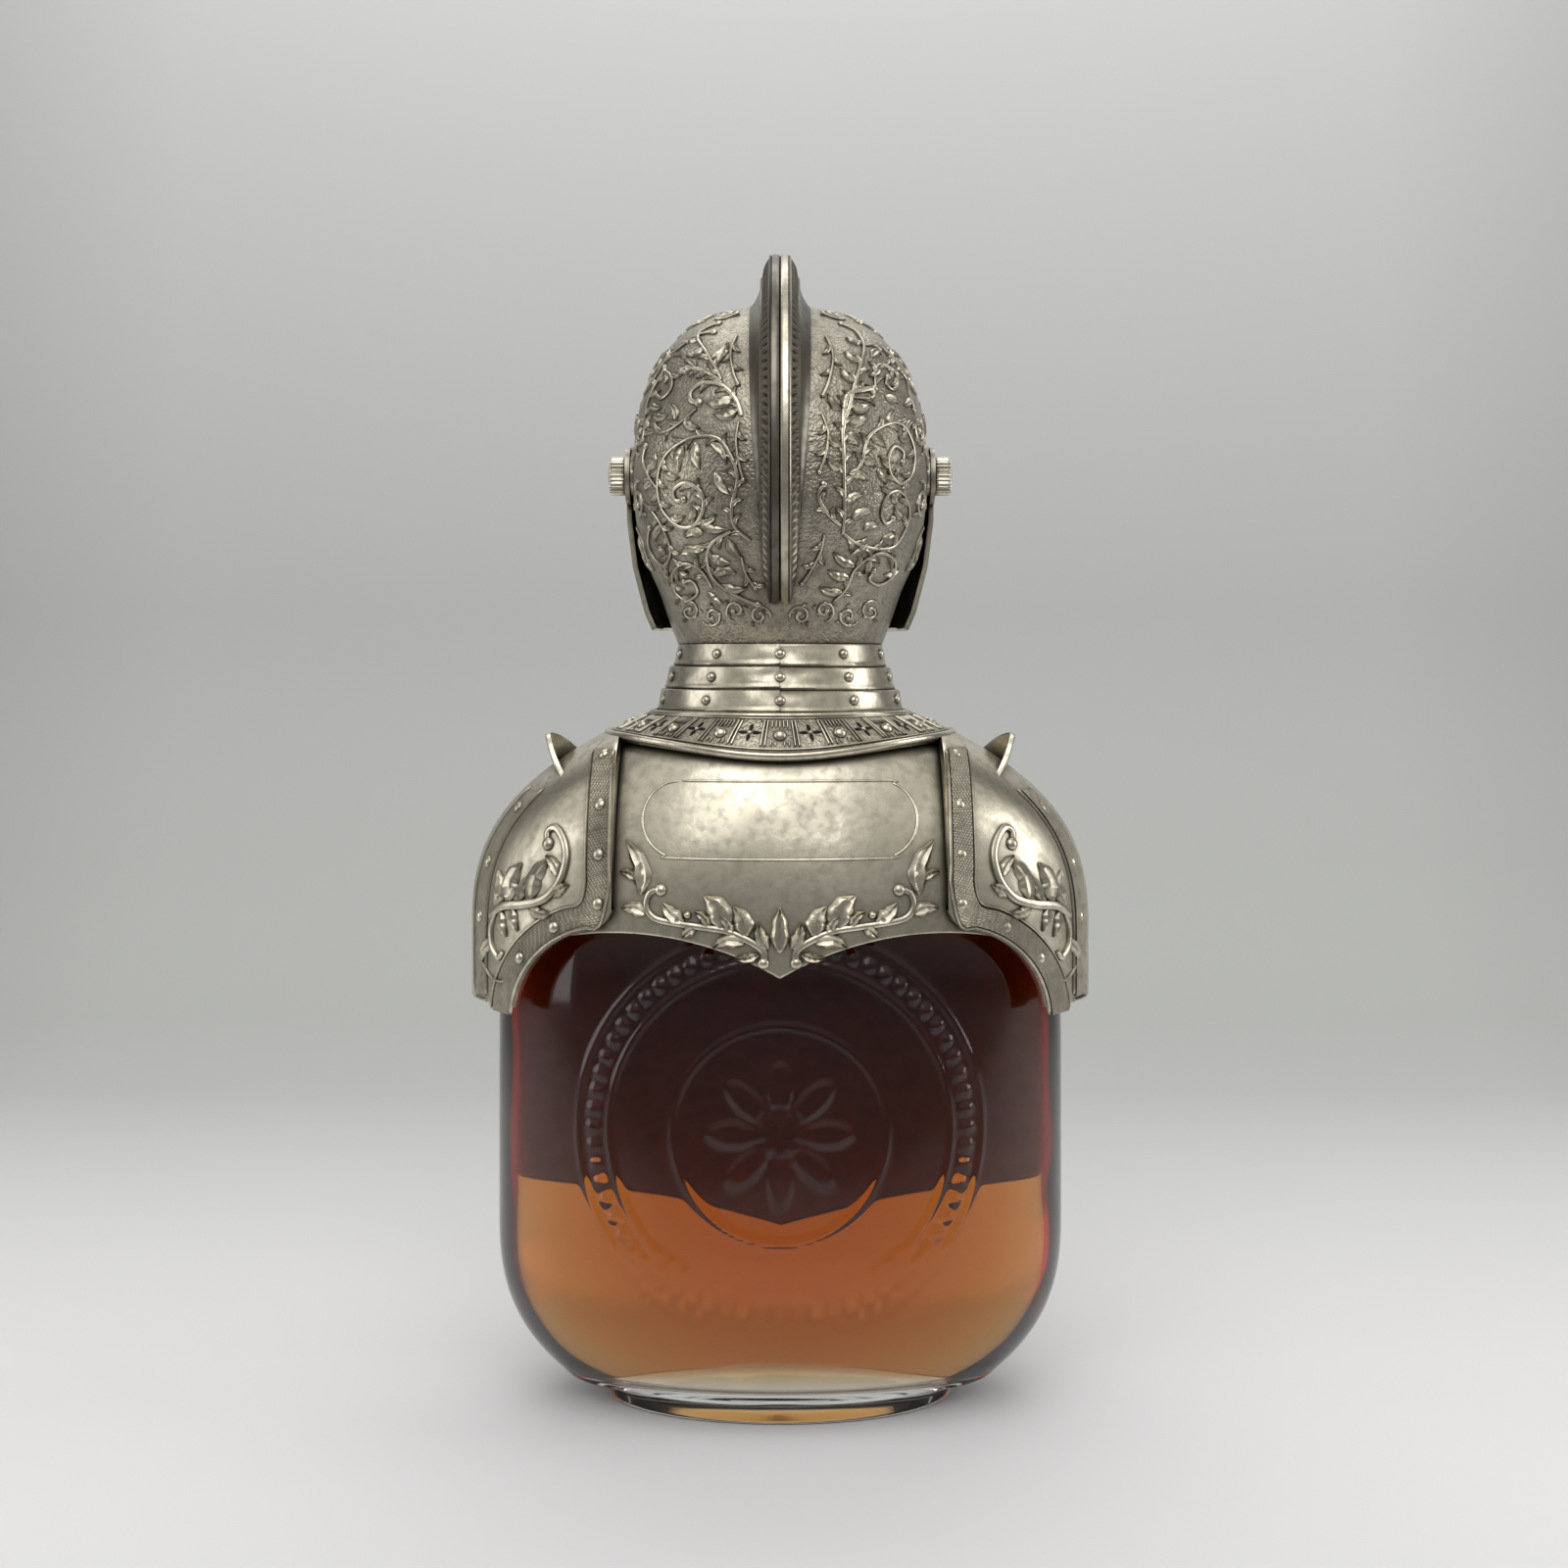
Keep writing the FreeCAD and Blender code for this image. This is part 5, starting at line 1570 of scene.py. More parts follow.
@dataclass
class Skull:
    """The two half castings of the helmet with the roped comb."""

    form: SkullForm
    finishes: Finishes
    wall: float = 1.8
    face_half: float = 19.0
    face_low: float = 199.0
    face_high: float = 229.0
    comb_back: float = 2.2
    comb_height: float = 224.0
    comb_start: float = -55.0
    comb_end: float = 157.0
    ribs: int = 78
    comb_columns: int = 160

    def build(self) -> None:
        """Make both halves."""
        for hand, name in ((1, "left"), (-1, "right")):
            self.shell(hand, name)
            self.comb(hand, name)
            self.ornament(hand, name)

    def shell(self, hand: int, name: str) -> None:
        """Make one half of the bowl.

        Args:
            hand: 1 for the left half and -1 for the right.
            name: The half's name.
        """
        low = math.atan2(self.form.nape_low - self.form.centre, self.form.nape_radius)

        def place(round_share: float, up: float) -> Vector:
            """Return a corner of the bowl."""
            turn = mix(-math.pi / 2, math.pi / 2, round_share)
            rise = mix(low, math.pi / 2, up)
            way = Vector((math.cos(rise) * math.cos(turn), math.cos(rise) * math.sin(turn), math.sin(rise)))
            point = self.form.point(way)
            return Vector((hand * point.x, point.y, point.z))

        bench = Workbench()
        bench.sheet(90, 90, place, weld=True)
        if hand < 0:
            bench.turn_over()
        corner = sorted((-1.0 * hand, self.face_half * hand))
        bench.cut_window(Vector((corner[0], -60.0, self.face_low)),
                         Vector((corner[1], -15.0, self.face_high)))
        bench.thicken(self.wall, 0.3)
        bench.piece(f"skull_{name}_shell", self.finishes.stipple, Body.HELMET, Slot.PEWTER, [f"skull_{name}"])

    def comb(self, hand: int, name: str) -> None:
        """Make one half of the comb: a flat strip, a rope and a flared foot.

        Args:
            hand: 1 for the left half and -1 for the right.
            name: The half's name.
        """
        strip = [(0.0, 45.3), (0.15, 45.7), (0.35, 45.9), (1.2, 45.99), (1.8, 45.9), (1.95, 45.6),
                 (2.1, 45.6), (2.25, 45.9), (2.45, 45.7), (2.6, 45.1)]
        angles = [mix(self.comb_start, self.comb_end, step / self.comb_columns)
                  for step in range(self.comb_columns + 1)]
        floors = [self.floor(math.radians(angle)) for angle in angles]

        def lift(out: float, reach: float, along: float) -> Vector:
            """Return the point at a reach from the comb's middle."""
            turn = math.radians(mix(self.comb_start, self.comb_end, along))
            return Vector((hand * out, self.comb_back + reach * math.cos(turn),
                           self.comb_height + reach * math.sin(turn))) * MM

        def strip_place(along: float, across: float) -> Vector:
            """Return a corner of the strip."""
            return lift(*strip[round(across * (len(strip) - 1))], along)

        def rope_place(along: float, across: float) -> Vector:
            """Return a corner of the rope."""
            swell = math.sin(math.pi * across)
            rope = 0.5 + 0.5 * math.sin(2 * math.pi * (self.ribs * along - 0.8 * across))
            lump = (0.95 * rope ** 0.7 - 0.6) * swell
            return lift(mix(2.55, 4.2, across) + lump, mix(45.1, 40.6, across) + lump * 0.5, along)

        def foot_place(along: float, across: float) -> Vector:
            """Return a corner of the foot."""
            if across < 0.2:
                bead = math.sin(math.pi * across / 0.2)
                return lift(4.15 + 0.35 * bead + across, 40.7 - 3.0 * across, along)
            share = (across - 0.2) / 0.8
            floor = floors[round(along * self.comb_columns)] - 0.5
            return lift(4.3 + 4.2 * share ** 1.4, floor + max(0.0, 40.0 - floor) * (1 - share) ** 1.7, along)

        # Painted shade: the left half of the strip and both feet take the darkened pewter, for the comb's
        # shaded side and the crease at its foot.
        for part, columns, rows, place, finish in (
                ("strip", self.comb_columns, len(strip) - 1, strip_place,
                 self.finishes.pewter if hand < 0 else self.finishes.shaded_pewter),
                ("rope", self.ribs * 8, 6, rope_place, self.finishes.rope),
                ("foot", self.comb_columns, 15, foot_place, self.finishes.shaded_pewter)):
            bench = Workbench()
            bench.sheet(columns, rows, place)
            if hand < 0:
                bench.turn_over()
            bench.piece(f"comb_{name}_{part}", finish, Body.HELMET, Slot.PEWTER)

    def floor(self, turn: float) -> float:
        """Find the bowl beside the comb's foot.

        Args:
            turn: The angle along the comb.

        Returns:
            How far the bowl is from the comb's middle.
        """
        def within(reach: float) -> bool:
            """Return whether a reach is still inside the bowl."""
            point = Vector((8.5, self.comb_back + reach * math.cos(turn),
                            self.comb_height + reach * math.sin(turn) - self.form.centre))
            return point.length < self.form.reach(point.normalized())

        return halve(within, 10.0, 48.0)

    def ornament(self, hand: int, name: str) -> None:
        """Raise the acanthus scrolls that cover one half.

        Args:
            hand: 1 for the left half and -1 for the right.
            name: The half's name.
        """
        bench = Workbench()
        back = Relief(bench, self.form.back(hand))
        vines, fronds = (LEFT_VINES, LEFT_FRONDS) if hand > 0 else (RIGHT_VINES, RIGHT_FRONDS)
        for vine in vines:
            back.stem(vine.route, vine.width * 0.8, 0.6, (0.8, 1.0), 0.3, 0.45)
            back.bead(vine.route[-1], vine.bud, 0.7, 8)
            back.sprigs(vine.route[:max(3, len(vine.route) - 3)], 2.3, 3.3, 0.55, self.form.holds)
        for frond in fronds:
            back.leaf(frond.root, frond.tip, frond.width * 0.9, 0.65, frond.bend)
        for step in range(4):
            middle = (4.6 + 5.4 * step, 184.4 + step % 2 * 1.2)
            back.scroll(middle, 2.6, 200 + 70 * step, Hand.LEFT if step % 2 else Hand.RIGHT, 0.8, 0.45, 1.2)
        side = Relief(bench, self.form.side(hand))
        for place, radius, start, wind in (
                ((12.1, 242.3), 6.0, 250, 1), ((8.0, 200.1), 5.4, 90, -1), ((19.0, 226.0), 4.6, 270, -1),
                ((2.0, 231.5), 4.2, 90, 1), ((-8.0, 238.5), 5.0, 270, -1), ((17.5, 211.0), 4.8, 60, 1),
                ((11.0, 221.5), 2.6, 0, 1), ((-20.0, 243.0), 4.4, 120, 1)):
            side.scroll(place, radius, start, Hand(wind), 1.2, 0.7, 1.5)
        crown = Relief(bench, self.form.crown(hand))
        for place, radius, start, wind in (
                ((18.1, 6.0), 5.4, 200, 1), ((18.1, -10.1), 5.4, 100, -1), ((19.1, -24.9), 5.0, 260, 1),
                ((11.6, -18.0), 2.8, 0, 1), ((11.8, -2.0), 2.8, 180, -1), ((12.0, 14.5), 3.0, 0, 1)):
            crown.scroll(place, radius, start, Hand(wind), 1.2, 0.7, 1.5)
        bench.piece(f"skull_{name}_ornament", self.finishes.relief, Body.HELMET, Slot.PEWTER, outward=True)


LEFT_VINES = (
    Vine(((6.3, 200.7), (9.9, 203.8), (10.6, 208.0), (9.3, 214.0), (10.6, 218.8), (13.6, 223.1),
          (19.0, 223.7), (24.4, 221.2), (26.8, 217.6), (27.4, 212.8), (26.2, 208.0), (22.6, 204.4),
          (19.0, 204.4), (16.9, 208.0), (17.5, 211.6), (20.8, 213.7), (23.5, 212.5), (23.2, 210.1),
          (21.4, 210.1)), 1.3),
    Vine(((18.4, 230.3), (22.0, 227.3), (26.2, 225.5), (29.9, 227.0), (30.8, 230.3), (29.9, 234.5),
          (28.0, 238.1), (26.2, 240.2), (24.4, 238.1), (24.7, 235.1), (26.8, 233.6), (28.2, 235.1))),
    Vine(((8.4, 227.9), (9.9, 232.1), (13.0, 235.4), (17.2, 236.0), (19.9, 234.2), (19.7, 232.1),
          (18.1, 231.6)), 1.7, 1.2),
    Vine(((12.7, 235.7), (15.4, 238.1), (19.0, 239.8), (21.0, 239.6)), 1.2),
    Vine(((13.0, 236.4), (14.2, 239.3), (16.6, 243.6), (18.7, 247.8), (17.5, 250.2), (14.0, 251.6))),
    Vine(((28.4, 241.5), (25.6, 244.2), (18.9, 248.6), (15.0, 249.0))),
    Vine(((31.4, 210.7), (28.3, 207.4), (25.6, 202.6), (24.7, 198.6), (26.4, 196.2), (28.9, 198.0),
          (30.2, 201.3), (29.7, 204.6)), 1.1),
    Vine(((10.6, 203.0), (14.8, 200.7), (16.3, 197.7), (15.4, 193.5), (12.4, 190.5), (8.1, 188.1),
          (5.0, 186.8))),
    Vine(((15.1, 190.5), (17.8, 194.7), (21.4, 196.2), (24.3, 194.4), (24.1, 190.5), (21.4, 188.1),
          (18.7, 189.6), (19.6, 192.3), (21.7, 192.3)), 1.1),
    Vine(((27.4, 212.8), (29.6, 216.0), (31.0, 219.6), (30.4, 223.0)), 1.1),
    Vine(((9.6, 247.8), (11.0, 243.4), (10.4, 238.6), (9.2, 235.4)), 1.0, 0.6),
    Vine(((9.0, 227.0), (9.6, 222.6), (9.0, 218.0), (8.0, 214.0)), 1.0, 0.6),
    Vine(((8.6, 197.6), (7.6, 193.8), (5.4, 190.4)), 1.0, 0.6),
)

LEFT_FRONDS = (
    Frond((14.2, 215.8), (10.4, 210.6), 2.8), Frond((21.4, 222.0), (22.3, 216.0), 3.2),
    Frond((18.4, 222.6), (17.6, 216.4), 3.2), Frond((15.4, 222.4), (11.6, 217.4), 2.6, -0.14),
    Frond((26.0, 216.4), (22.2, 215.0), 2.4), Frond((20.2, 205.4), (19.4, 209.8), 2.4),
    Frond((24.6, 206.6), (21.0, 206.4), 2.2), Frond((17.6, 204.8), (11.8, 203.4), 2.8),
    Frond((17.8, 204.6), (14.0, 206.8), 2.2), Frond((17.0, 202.6), (21.6, 202.0), 3.0),
    Frond((16.6, 199.5), (21.6, 200.2), 2.6, -0.14), Frond((18.4, 197.5), (22.8, 198.6), 2.4),
    Frond((10.2, 232.7), (16.6, 231.6), 3.6, -0.16), Frond((9.2, 229.6), (15.0, 228.9), 3.2, -0.16),
    Frond((19.4, 239.8), (23.4, 238.6), 3.0), Frond((19.0, 240.2), (21.8, 242.4), 2.4),
    Frond((15.8, 238.6), (18.8, 237.2), 2.2), Frond((11.4, 243.8), (13.9, 240.2), 2.4),
    Frond((15.4, 242.0), (11.6, 246.0), 2.6), Frond((17.2, 245.0), (21.4, 243.4), 2.6, -0.14),
    Frond((18.4, 247.2), (22.6, 247.0), 2.6), Frond((28.6, 229.6), (25.0, 229.4), 2.4),
    Frond((29.4, 232.6), (26.6, 231.4), 2.2), Frond((23.2, 228.0), (24.8, 232.0), 2.4),
    Frond((21.4, 227.6), (17.6, 225.6), 2.6), Frond((15.6, 197.8), (11.0, 196.2), 3.2),
    Frond((14.8, 193.6), (9.6, 193.8), 3.2, -0.14), Frond((13.4, 191.4), (7.2, 190.6), 2.8),
    Frond((11.6, 201.2), (8.2, 197.2), 2.8), Frond((26.6, 205.0), (28.4, 201.4), 2.4),
    Frond((26.0, 198.4), (28.2, 200.4), 2.0), Frond((22.6, 194.6), (20.6, 194.2), 1.8),
    Frond((16.2, 190.0), (12.8, 187.2), 2.4), Frond((25.8, 191.6), (27.0, 195.4), 2.2),
    Frond((28.6, 214.6), (30.8, 213.0), 2.0), Frond((29.4, 217.4), (27.8, 221.0), 2.2),
)

RIGHT_VINES = (
    Vine(((13.9, 202.0), (14.2, 208.0), (14.0, 217.6), (13.9, 226.1), (15.1, 229.7), (16.6, 235.7),
          (18.4, 241.8), (18.9, 246.0), (17.2, 249.6), (14.0, 251.4)), 1.3),
    Vine(((14.4, 213.0), (17.8, 217.6), (19.6, 223.7), (23.8, 227.0), (27.7, 227.3), (30.3, 222.5),
          (30.0, 217.0), (27.4, 214.1), (24.7, 215.8), (24.1, 219.4), (25.6, 222.2), (27.6, 221.2),
          (27.4, 218.8)), 1.3),
    Vine(((14.0, 202.6), (16.6, 200.6), (20.8, 199.5), (25.6, 200.1), (28.5, 204.4), (29.2, 209.2),
          (27.1, 212.2), (24.1, 211.3), (22.6, 207.4), (23.7, 205.0), (25.3, 206.2))),
    Vine(((16.0, 232.6), (20.8, 233.3), (21.4, 239.0), (22.6, 241.3), (25.6, 240.5), (26.8, 237.5),
          (25.5, 235.5), (23.8, 236.6), (24.4, 238.4)), 1.1),
    Vine(((12.0, 187.6), (14.8, 190.5), (17.2, 195.3), (22.0, 198.4), (25.9, 197.4), (25.9, 194.1),
          (22.9, 191.7), (20.2, 192.6), (21.1, 194.6))),
    Vine(((13.9, 225.0), (14.8, 232.7), (18.4, 234.5), (21.2, 235.2)), 1.7, 1.0),
    Vine(((19.2, 246.0), (23.0, 246.4), (26.6, 243.6), (28.8, 240.0), (29.6, 235.4), (30.6, 231.6)), 1.1),
    Vine(((13.6, 204.0), (10.6, 206.6), (8.4, 210.4), (9.6, 213.0)), 1.1),
    Vine(((10.2, 247.6), (11.8, 242.6), (11.0, 237.0), (9.4, 232.8)), 1.0, 0.6),
    Vine(((9.2, 228.6), (10.6, 224.0), (9.8, 219.0), (8.6, 215.6)), 1.0, 0.6),
    Vine(((9.8, 202.4), (9.0, 198.6), (6.8, 194.4), (4.8, 191.4)), 1.0, 0.6),
)

RIGHT_FRONDS = (
    Frond((14.8, 227.4), (19.4, 228.6), 3.4, -0.16), Frond((15.6, 230.6), (20.2, 231.2), 3.4, -0.16),
    Frond((14.2, 223.9), (17.6, 221.6), 3.4), Frond((18.0, 218.6), (21.4, 217.2), 2.8),
    Frond((20.0, 223.9), (23.6, 221.6), 2.8), Frond((21.6, 216.8), (23.6, 213.4), 2.8),
    Frond((15.2, 215.6), (19.6, 214.0), 2.8), Frond((14.6, 208.8), (18.6, 211.2), 2.6),
    Frond((16.0, 205.4), (21.0, 207.6), 2.8), Frond((18.6, 203.2), (22.2, 204.6), 2.6),
    Frond((20.8, 243.2), (23.4, 245.4), 2.6), Frond((17.8, 241.4), (14.4, 243.8), 2.4),
    Frond((16.8, 236.4), (13.4, 239.4), 2.6), Frond((18.6, 246.6), (14.8, 247.6), 2.4),
    Frond((13.6, 221.6), (10.4, 224.4), 2.6), Frond((13.8, 216.6), (10.2, 218.8), 2.6),
    Frond((13.4, 229.6), (10.6, 233.4), 2.4), Frond((24.6, 226.6), (25.8, 230.8), 2.4),
    Frond((28.4, 226.0), (30.2, 229.0), 2.2), Frond((28.6, 224.2), (26.4, 224.6), 2.2),
    Frond((25.0, 217.6), (22.4, 219.4), 2.2), Frond((26.2, 209.4), (25.4, 212.4), 2.2),
    Frond((27.6, 206.4), (25.6, 208.8), 2.4), Frond((19.4, 200.4), (15.6, 198.0), 2.8),
    Frond((23.0, 200.4), (26.2, 203.0), 2.4), Frond((15.6, 193.0), (10.6, 194.6), 3.0),
    Frond((16.8, 195.6), (11.8, 198.4), 2.8), Frond((14.0, 190.0), (8.6, 190.8), 2.8),
    Frond((20.0, 197.2), (19.0, 193.8), 2.4), Frond((25.0, 192.4), (27.4, 195.4), 2.2),
    Frond((26.4, 243.2), (28.6, 244.0), 2.0), Frond((28.4, 240.4), (26.8, 242.0), 2.0),
    Frond((29.8, 234.4), (28.0, 232.2), 2.2), Frond((22.4, 240.2), (19.8, 238.0), 2.2),
    Frond((23.4, 233.4), (26.6, 232.4), 2.4),
)


@dataclass
class Gorget:
    """The stepped neck of the helmet in two halves, with its rivets."""

    finishes: Finishes
    seat: float = 162.4
    lame: float = 5.3
    radii: tuple[float, ...] = (29.3, 27.3, 25.3)
    draw: float = 0.95
    wall: float = 1.4

    def profile(self) -> list[Flat]:
        """Draw the lames from the seat to the top.

        Returns:
            Radii and heights.
        """
        line = []
        for index, radius in enumerate(self.radii):
            low = self.seat + self.lame * index
            line += [(radius - 0.4, low), (radius, low + 0.15), (radius + 0.05, low + 0.7),
                     (radius - 0.25, low + 1.1)]
            for step in range(1, 7):
                line.append((radius - 0.25 - (self.draw - 0.3) * step / 6, low + 1.1 + 3.6 * step / 6))
            line += [(radius - self.draw, low + self.lame - 0.25),
                     (radius - self.draw - 0.35, low + self.lame)]
        return line

    def build(self) -> None:
        """Make both halves and the rivets."""
        line = self.profile()
        for hand, name in ((1, "left"), (-1, "right")):
            def place(round_share: float, up: float) -> Vector:
                """Return a corner of the lames."""
                turn = mix(-math.pi / 2, math.pi / 2, round_share)
                radius, height = line[round(up * (len(line) - 1))]
                middle = math.sin(math.pi * up)
                radius += 0.3 * middle * noise.noise(Vector((turn * 4 + hand * 9, height * 0.4, 3.0)))
                height -= (0.28 if hand < 0 else 0.0) * clamp(4 * middle)
                return Vector((hand * radius * math.cos(turn), radius * math.sin(turn), height)) * MM

            bench = Workbench()
            bench.sheet(90, len(line) - 1, place)
            if hand < 0:
                bench.turn_over()
            bench.thicken(self.wall, 0.2)
            bench.piece(f"gorget_{name}_shell", self.finishes.pewter, Body.HELMET, Slot.PEWTER,
                        [f"gorget_{name}"])
        bench = Workbench()
        for index, radius in enumerate(self.radii):
            for step in range(10):
                turn = math.radians((step + 0.5) * 36)
                way = Vector((math.cos(turn), math.sin(turn), 0.0))
                height = Vector((0, 0, self.seat + self.lame * (index + 0.52)))
                bench.ball(Spot((way * (radius - 0.6) + height) * MM, way), 1.2, 0.95, 14)
        bench.piece("gorget_rivet_heads", self.finishes.relief, Body.HELMET, Slot.PEWTER, ["gorget_rivets"],
                    outward=True)


@dataclass
class Visor:
    """The pointed visor that swings on the two pivots, and its thumb nuts."""

    finishes: Finishes
    pivot: float = 218.2
    profile: tuple[Flat, ...] = ((0.0, 54.97), (24.1, 43.8), (29.6, 39.2), (32.5, 32.5), (35.3, 21.7),
                                 (36.7, 10.5), (36.7, 6.8))
    hem: float = 36.7
    brow: float = 6.46
    back: float = 1.36
    slope: float = 0.18
    wall: float = 1.2

    def station(self, share: float) -> Flat:
        """Follow the visor's profile.

        Args:
            share: Share of the profile's length.

        Returns:
            How far out and how far from the pivot axis the surface is.
        """
        lengths = [math.dist(a, b) for a, b in zip(self.profile, self.profile[1:])]
        left = share * sum(lengths)
        for (start, end), length in zip(zip(self.profile, self.profile[1:]), lengths):
            if left <= length:
                return mix(start[0], end[0], left / length), mix(start[1], end[1], left / length)
            left -= length
        return self.profile[-1]

    def limits(self, reach: float) -> Flat:
        """Find where the visor ends below and above.

        Args:
            reach: Distance from the pivot axis.

        Returns:
            The lowest and the highest angle.
        """
        rear = math.acos(clamp(self.back / reach))
        low = max(-rear, -math.asin(min(1.0, self.hem / reach)))

        def under(angle: float) -> bool:
            """Return whether an angle is still under the brow."""
            return reach * math.sin(angle) < self.brow + self.slope * (reach * math.cos(angle) - self.back)

        return low, min(rear, halve(under, 0.0, math.pi / 2))

    def place(self, across: float, up: float, inset: float = 0.0) -> Vector:
        """Find a point of the visor.

        Args:
            across: Share of the way across.
            up: Share of the way up.
            inset: How far inside the surface it lies.

        Returns:
            The point, in metres.
        """
        side = 2 * across - 1
        out, reach = self.station(abs(side))
        low, high = self.limits(reach)
        angle = mix(low, high, up)
        shrink = reach - inset
        return Vector((math.copysign(max(0.0, out - inset * 0.9), side), -shrink * math.cos(angle),
                       self.pivot + shrink * math.sin(angle))) * MM

    def face(self, across: float, height: float) -> Vector:
        """Find a point of the outside.

        Args:
            across: Distance from the middle.
            height: Its height.

        Returns:
            The point, in metres.
        """
        reach = self.profile[-1][1]
        for start, end in zip(self.profile, self.profile[1:-1]):
            if abs(across) <= end[0]:
                reach = mix(start[1], end[1], (abs(across) - start[0]) / (end[0] - start[0]))
                break
        rise = height - self.pivot
        return Vector((across, -math.sqrt(max(0.0, reach * reach - rise * rise)), height)) * MM

    def ornament(self) -> None:
        """Raise the vines over and under the sights, and the lines along the brow and the hem."""
        bench = Workbench()
        relief = Relief(bench, ground_of(self.face), 0.25)
        for side in (1, -1):
            tail = [(side * 3.6, 207.0), (side * 8.0, 210.4), (side * 13.0, 212.0), (side * 17.0, 211.4)]
            relief.scroll((side * 22.0, 209.0), 3.9, 90 + 90 * side, Hand(side), 0.95, 0.5, tail=tail)
            relief.sprigs(tail, 2.4, 3.2, 0.45,
                          lambda place: 203.6 < place[1] < 215.6 and abs(place[0]) > 2.0)
            upper = [(side * 3.4, 225.0), (side * 9.0, 227.0), (side * 15.0, 225.6), (side * 21.0, 227.0),
                     (side * 26.0, 225.4)]
            relief.stem(upper, 0.9, 0.45, (1.0, 0.5))
            relief.sprigs(upper, 2.3, 3.0, 0.45, lambda place: 222.2 < place[1] < 230.4)
        steps = [-28.0 + 2.0 * index for index in range(29)]
        brow = []
        for across in steps:
            point = self.face(across, self.pivot) / MM
            reach = abs(point.y)
            brow.append((across, self.pivot + reach * math.sin(self.limits(reach)[1]) - 1.5))
        relief.stem(brow, 0.8, 0.4)
        for height in (183.5, 186.4):
            relief.stem([(across, height) for across in steps], 0.7, 0.4)
        bench.piece("visor_ornament", self.finishes.relief, Body.VISOR, Slot.PEWTER)

    def build(self) -> None:
        """Make the visor and the nuts."""
        bench = Workbench()
        bench.sheet(140, 60, self.place)
        self.windows(bench)
        bench.thicken(self.wall, 0.25)
        for hand in (1, -1):
            turn = Matrix.Rotation(math.radians(90), 4, "Y")
            where = Matrix.Translation(Vector((hand * 36.1, 0.0, self.pivot)) * MM)
            bmesh.ops.create_cone(bench.bm, cap_ends=True, segments=40, radius1=6.8 * MM, radius2=6.8 * MM,
                                  depth=1.1 * MM, matrix=where @ turn)
        bench.piece("visor_shell", self.finishes.pewter, Body.VISOR, Slot.PEWTER, ["visor"])
        bench = Workbench()
        bench.sheet(140, 60, lambda across, up: self.place(across, up, self.wall + 0.1))
        self.windows(bench)
        bench.turn_over()
        bench.piece("visor_lining", self.finishes.inside, Body.VISOR, Slot.PEWTER)
        self.ornament()
        for hand, name, body in ((1, "left", Body.LEFT_NUT), (-1, "right", Body.RIGHT_NUT)):
            self.nut(hand, name, body)

    def windows(self, bench: Workbench) -> None:
        """Cut the sights and the breaths.

        Args:
            bench: Where the visor is made.
        """
        for side in (1, -1):
            ends = sorted((side * 2.5, side * 23.5))
            bench.cut_window(Vector((ends[0], -70.0, 216.7)), Vector((ends[1], -20.0, 220.7)))
            for index in range(5):
                middle = side * (5.0 + 4.6 * index)
                top = 192.2 + 10.0 * (1 - index / 10)
                bench.cut_window(Vector((middle - 0.9, -70.0, 192.2)), Vector((middle + 0.9, -20.0, top)),
                                 1.5)

    def nut(self, hand: int, name: str, body: Body) -> None:
        """Make one knurled thumb nut.

        Args:
            hand: 1 for the left side and -1 for the right.
            name: The side's name.
            body: The body that it is.
        """
        line = ((0.0, 36.8), (4.2, 36.8), (4.6, 37.1), (4.6, 38.0), (4.6, 39.5), (4.6, 40.3), (4.3, 40.6),
                (3.0, 40.75), (0.0, 40.75))

        def place(round_share: float, along: float) -> Vector:
            """Return a corner of the nut."""
            radius, out = line[round(along * (len(line) - 1))]
            turn = 2 * math.pi * round_share * hand
            if radius > 4.0:
                radius -= 0.42 * (0.5 - 0.5 * math.cos(26 * turn))
            return Vector((hand * out, radius * math.cos(turn), self.pivot + radius * math.sin(turn))) * MM

        bench = Workbench()
        bench.sheet(208, len(line) - 1, place, weld=True)
        bench.piece(f"{name}_nut_body", self.finishes.nickel, body, Slot.NICKEL, [f"{name}_thumb_nut"],
                    outward=True)


@dataclass
class HiddenPieces:
    """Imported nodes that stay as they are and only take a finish."""

    finishes: Finishes

    def build(self) -> None:
        """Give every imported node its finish."""
        for name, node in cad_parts.items():
            node.data.materials.clear()
            node.data.materials.append(self.finish(name))

    def finish(self, name: str) -> bpy.types.Material:
        """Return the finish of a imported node."""
        if name.endswith(("thumb_nut", "pivot_screw", "pivot_washer")):
            return self.finishes.nickel
        special = {"glass_bottle": self.finishes.glass, "liquor_fill": self.finishes.liquor,
                   "screw_cap": self.finishes.cap, "cap_liner": self.finishes.seal,
                   "seat_ring": self.finishes.felt}
        return special.get(name, self.finishes.pewter)


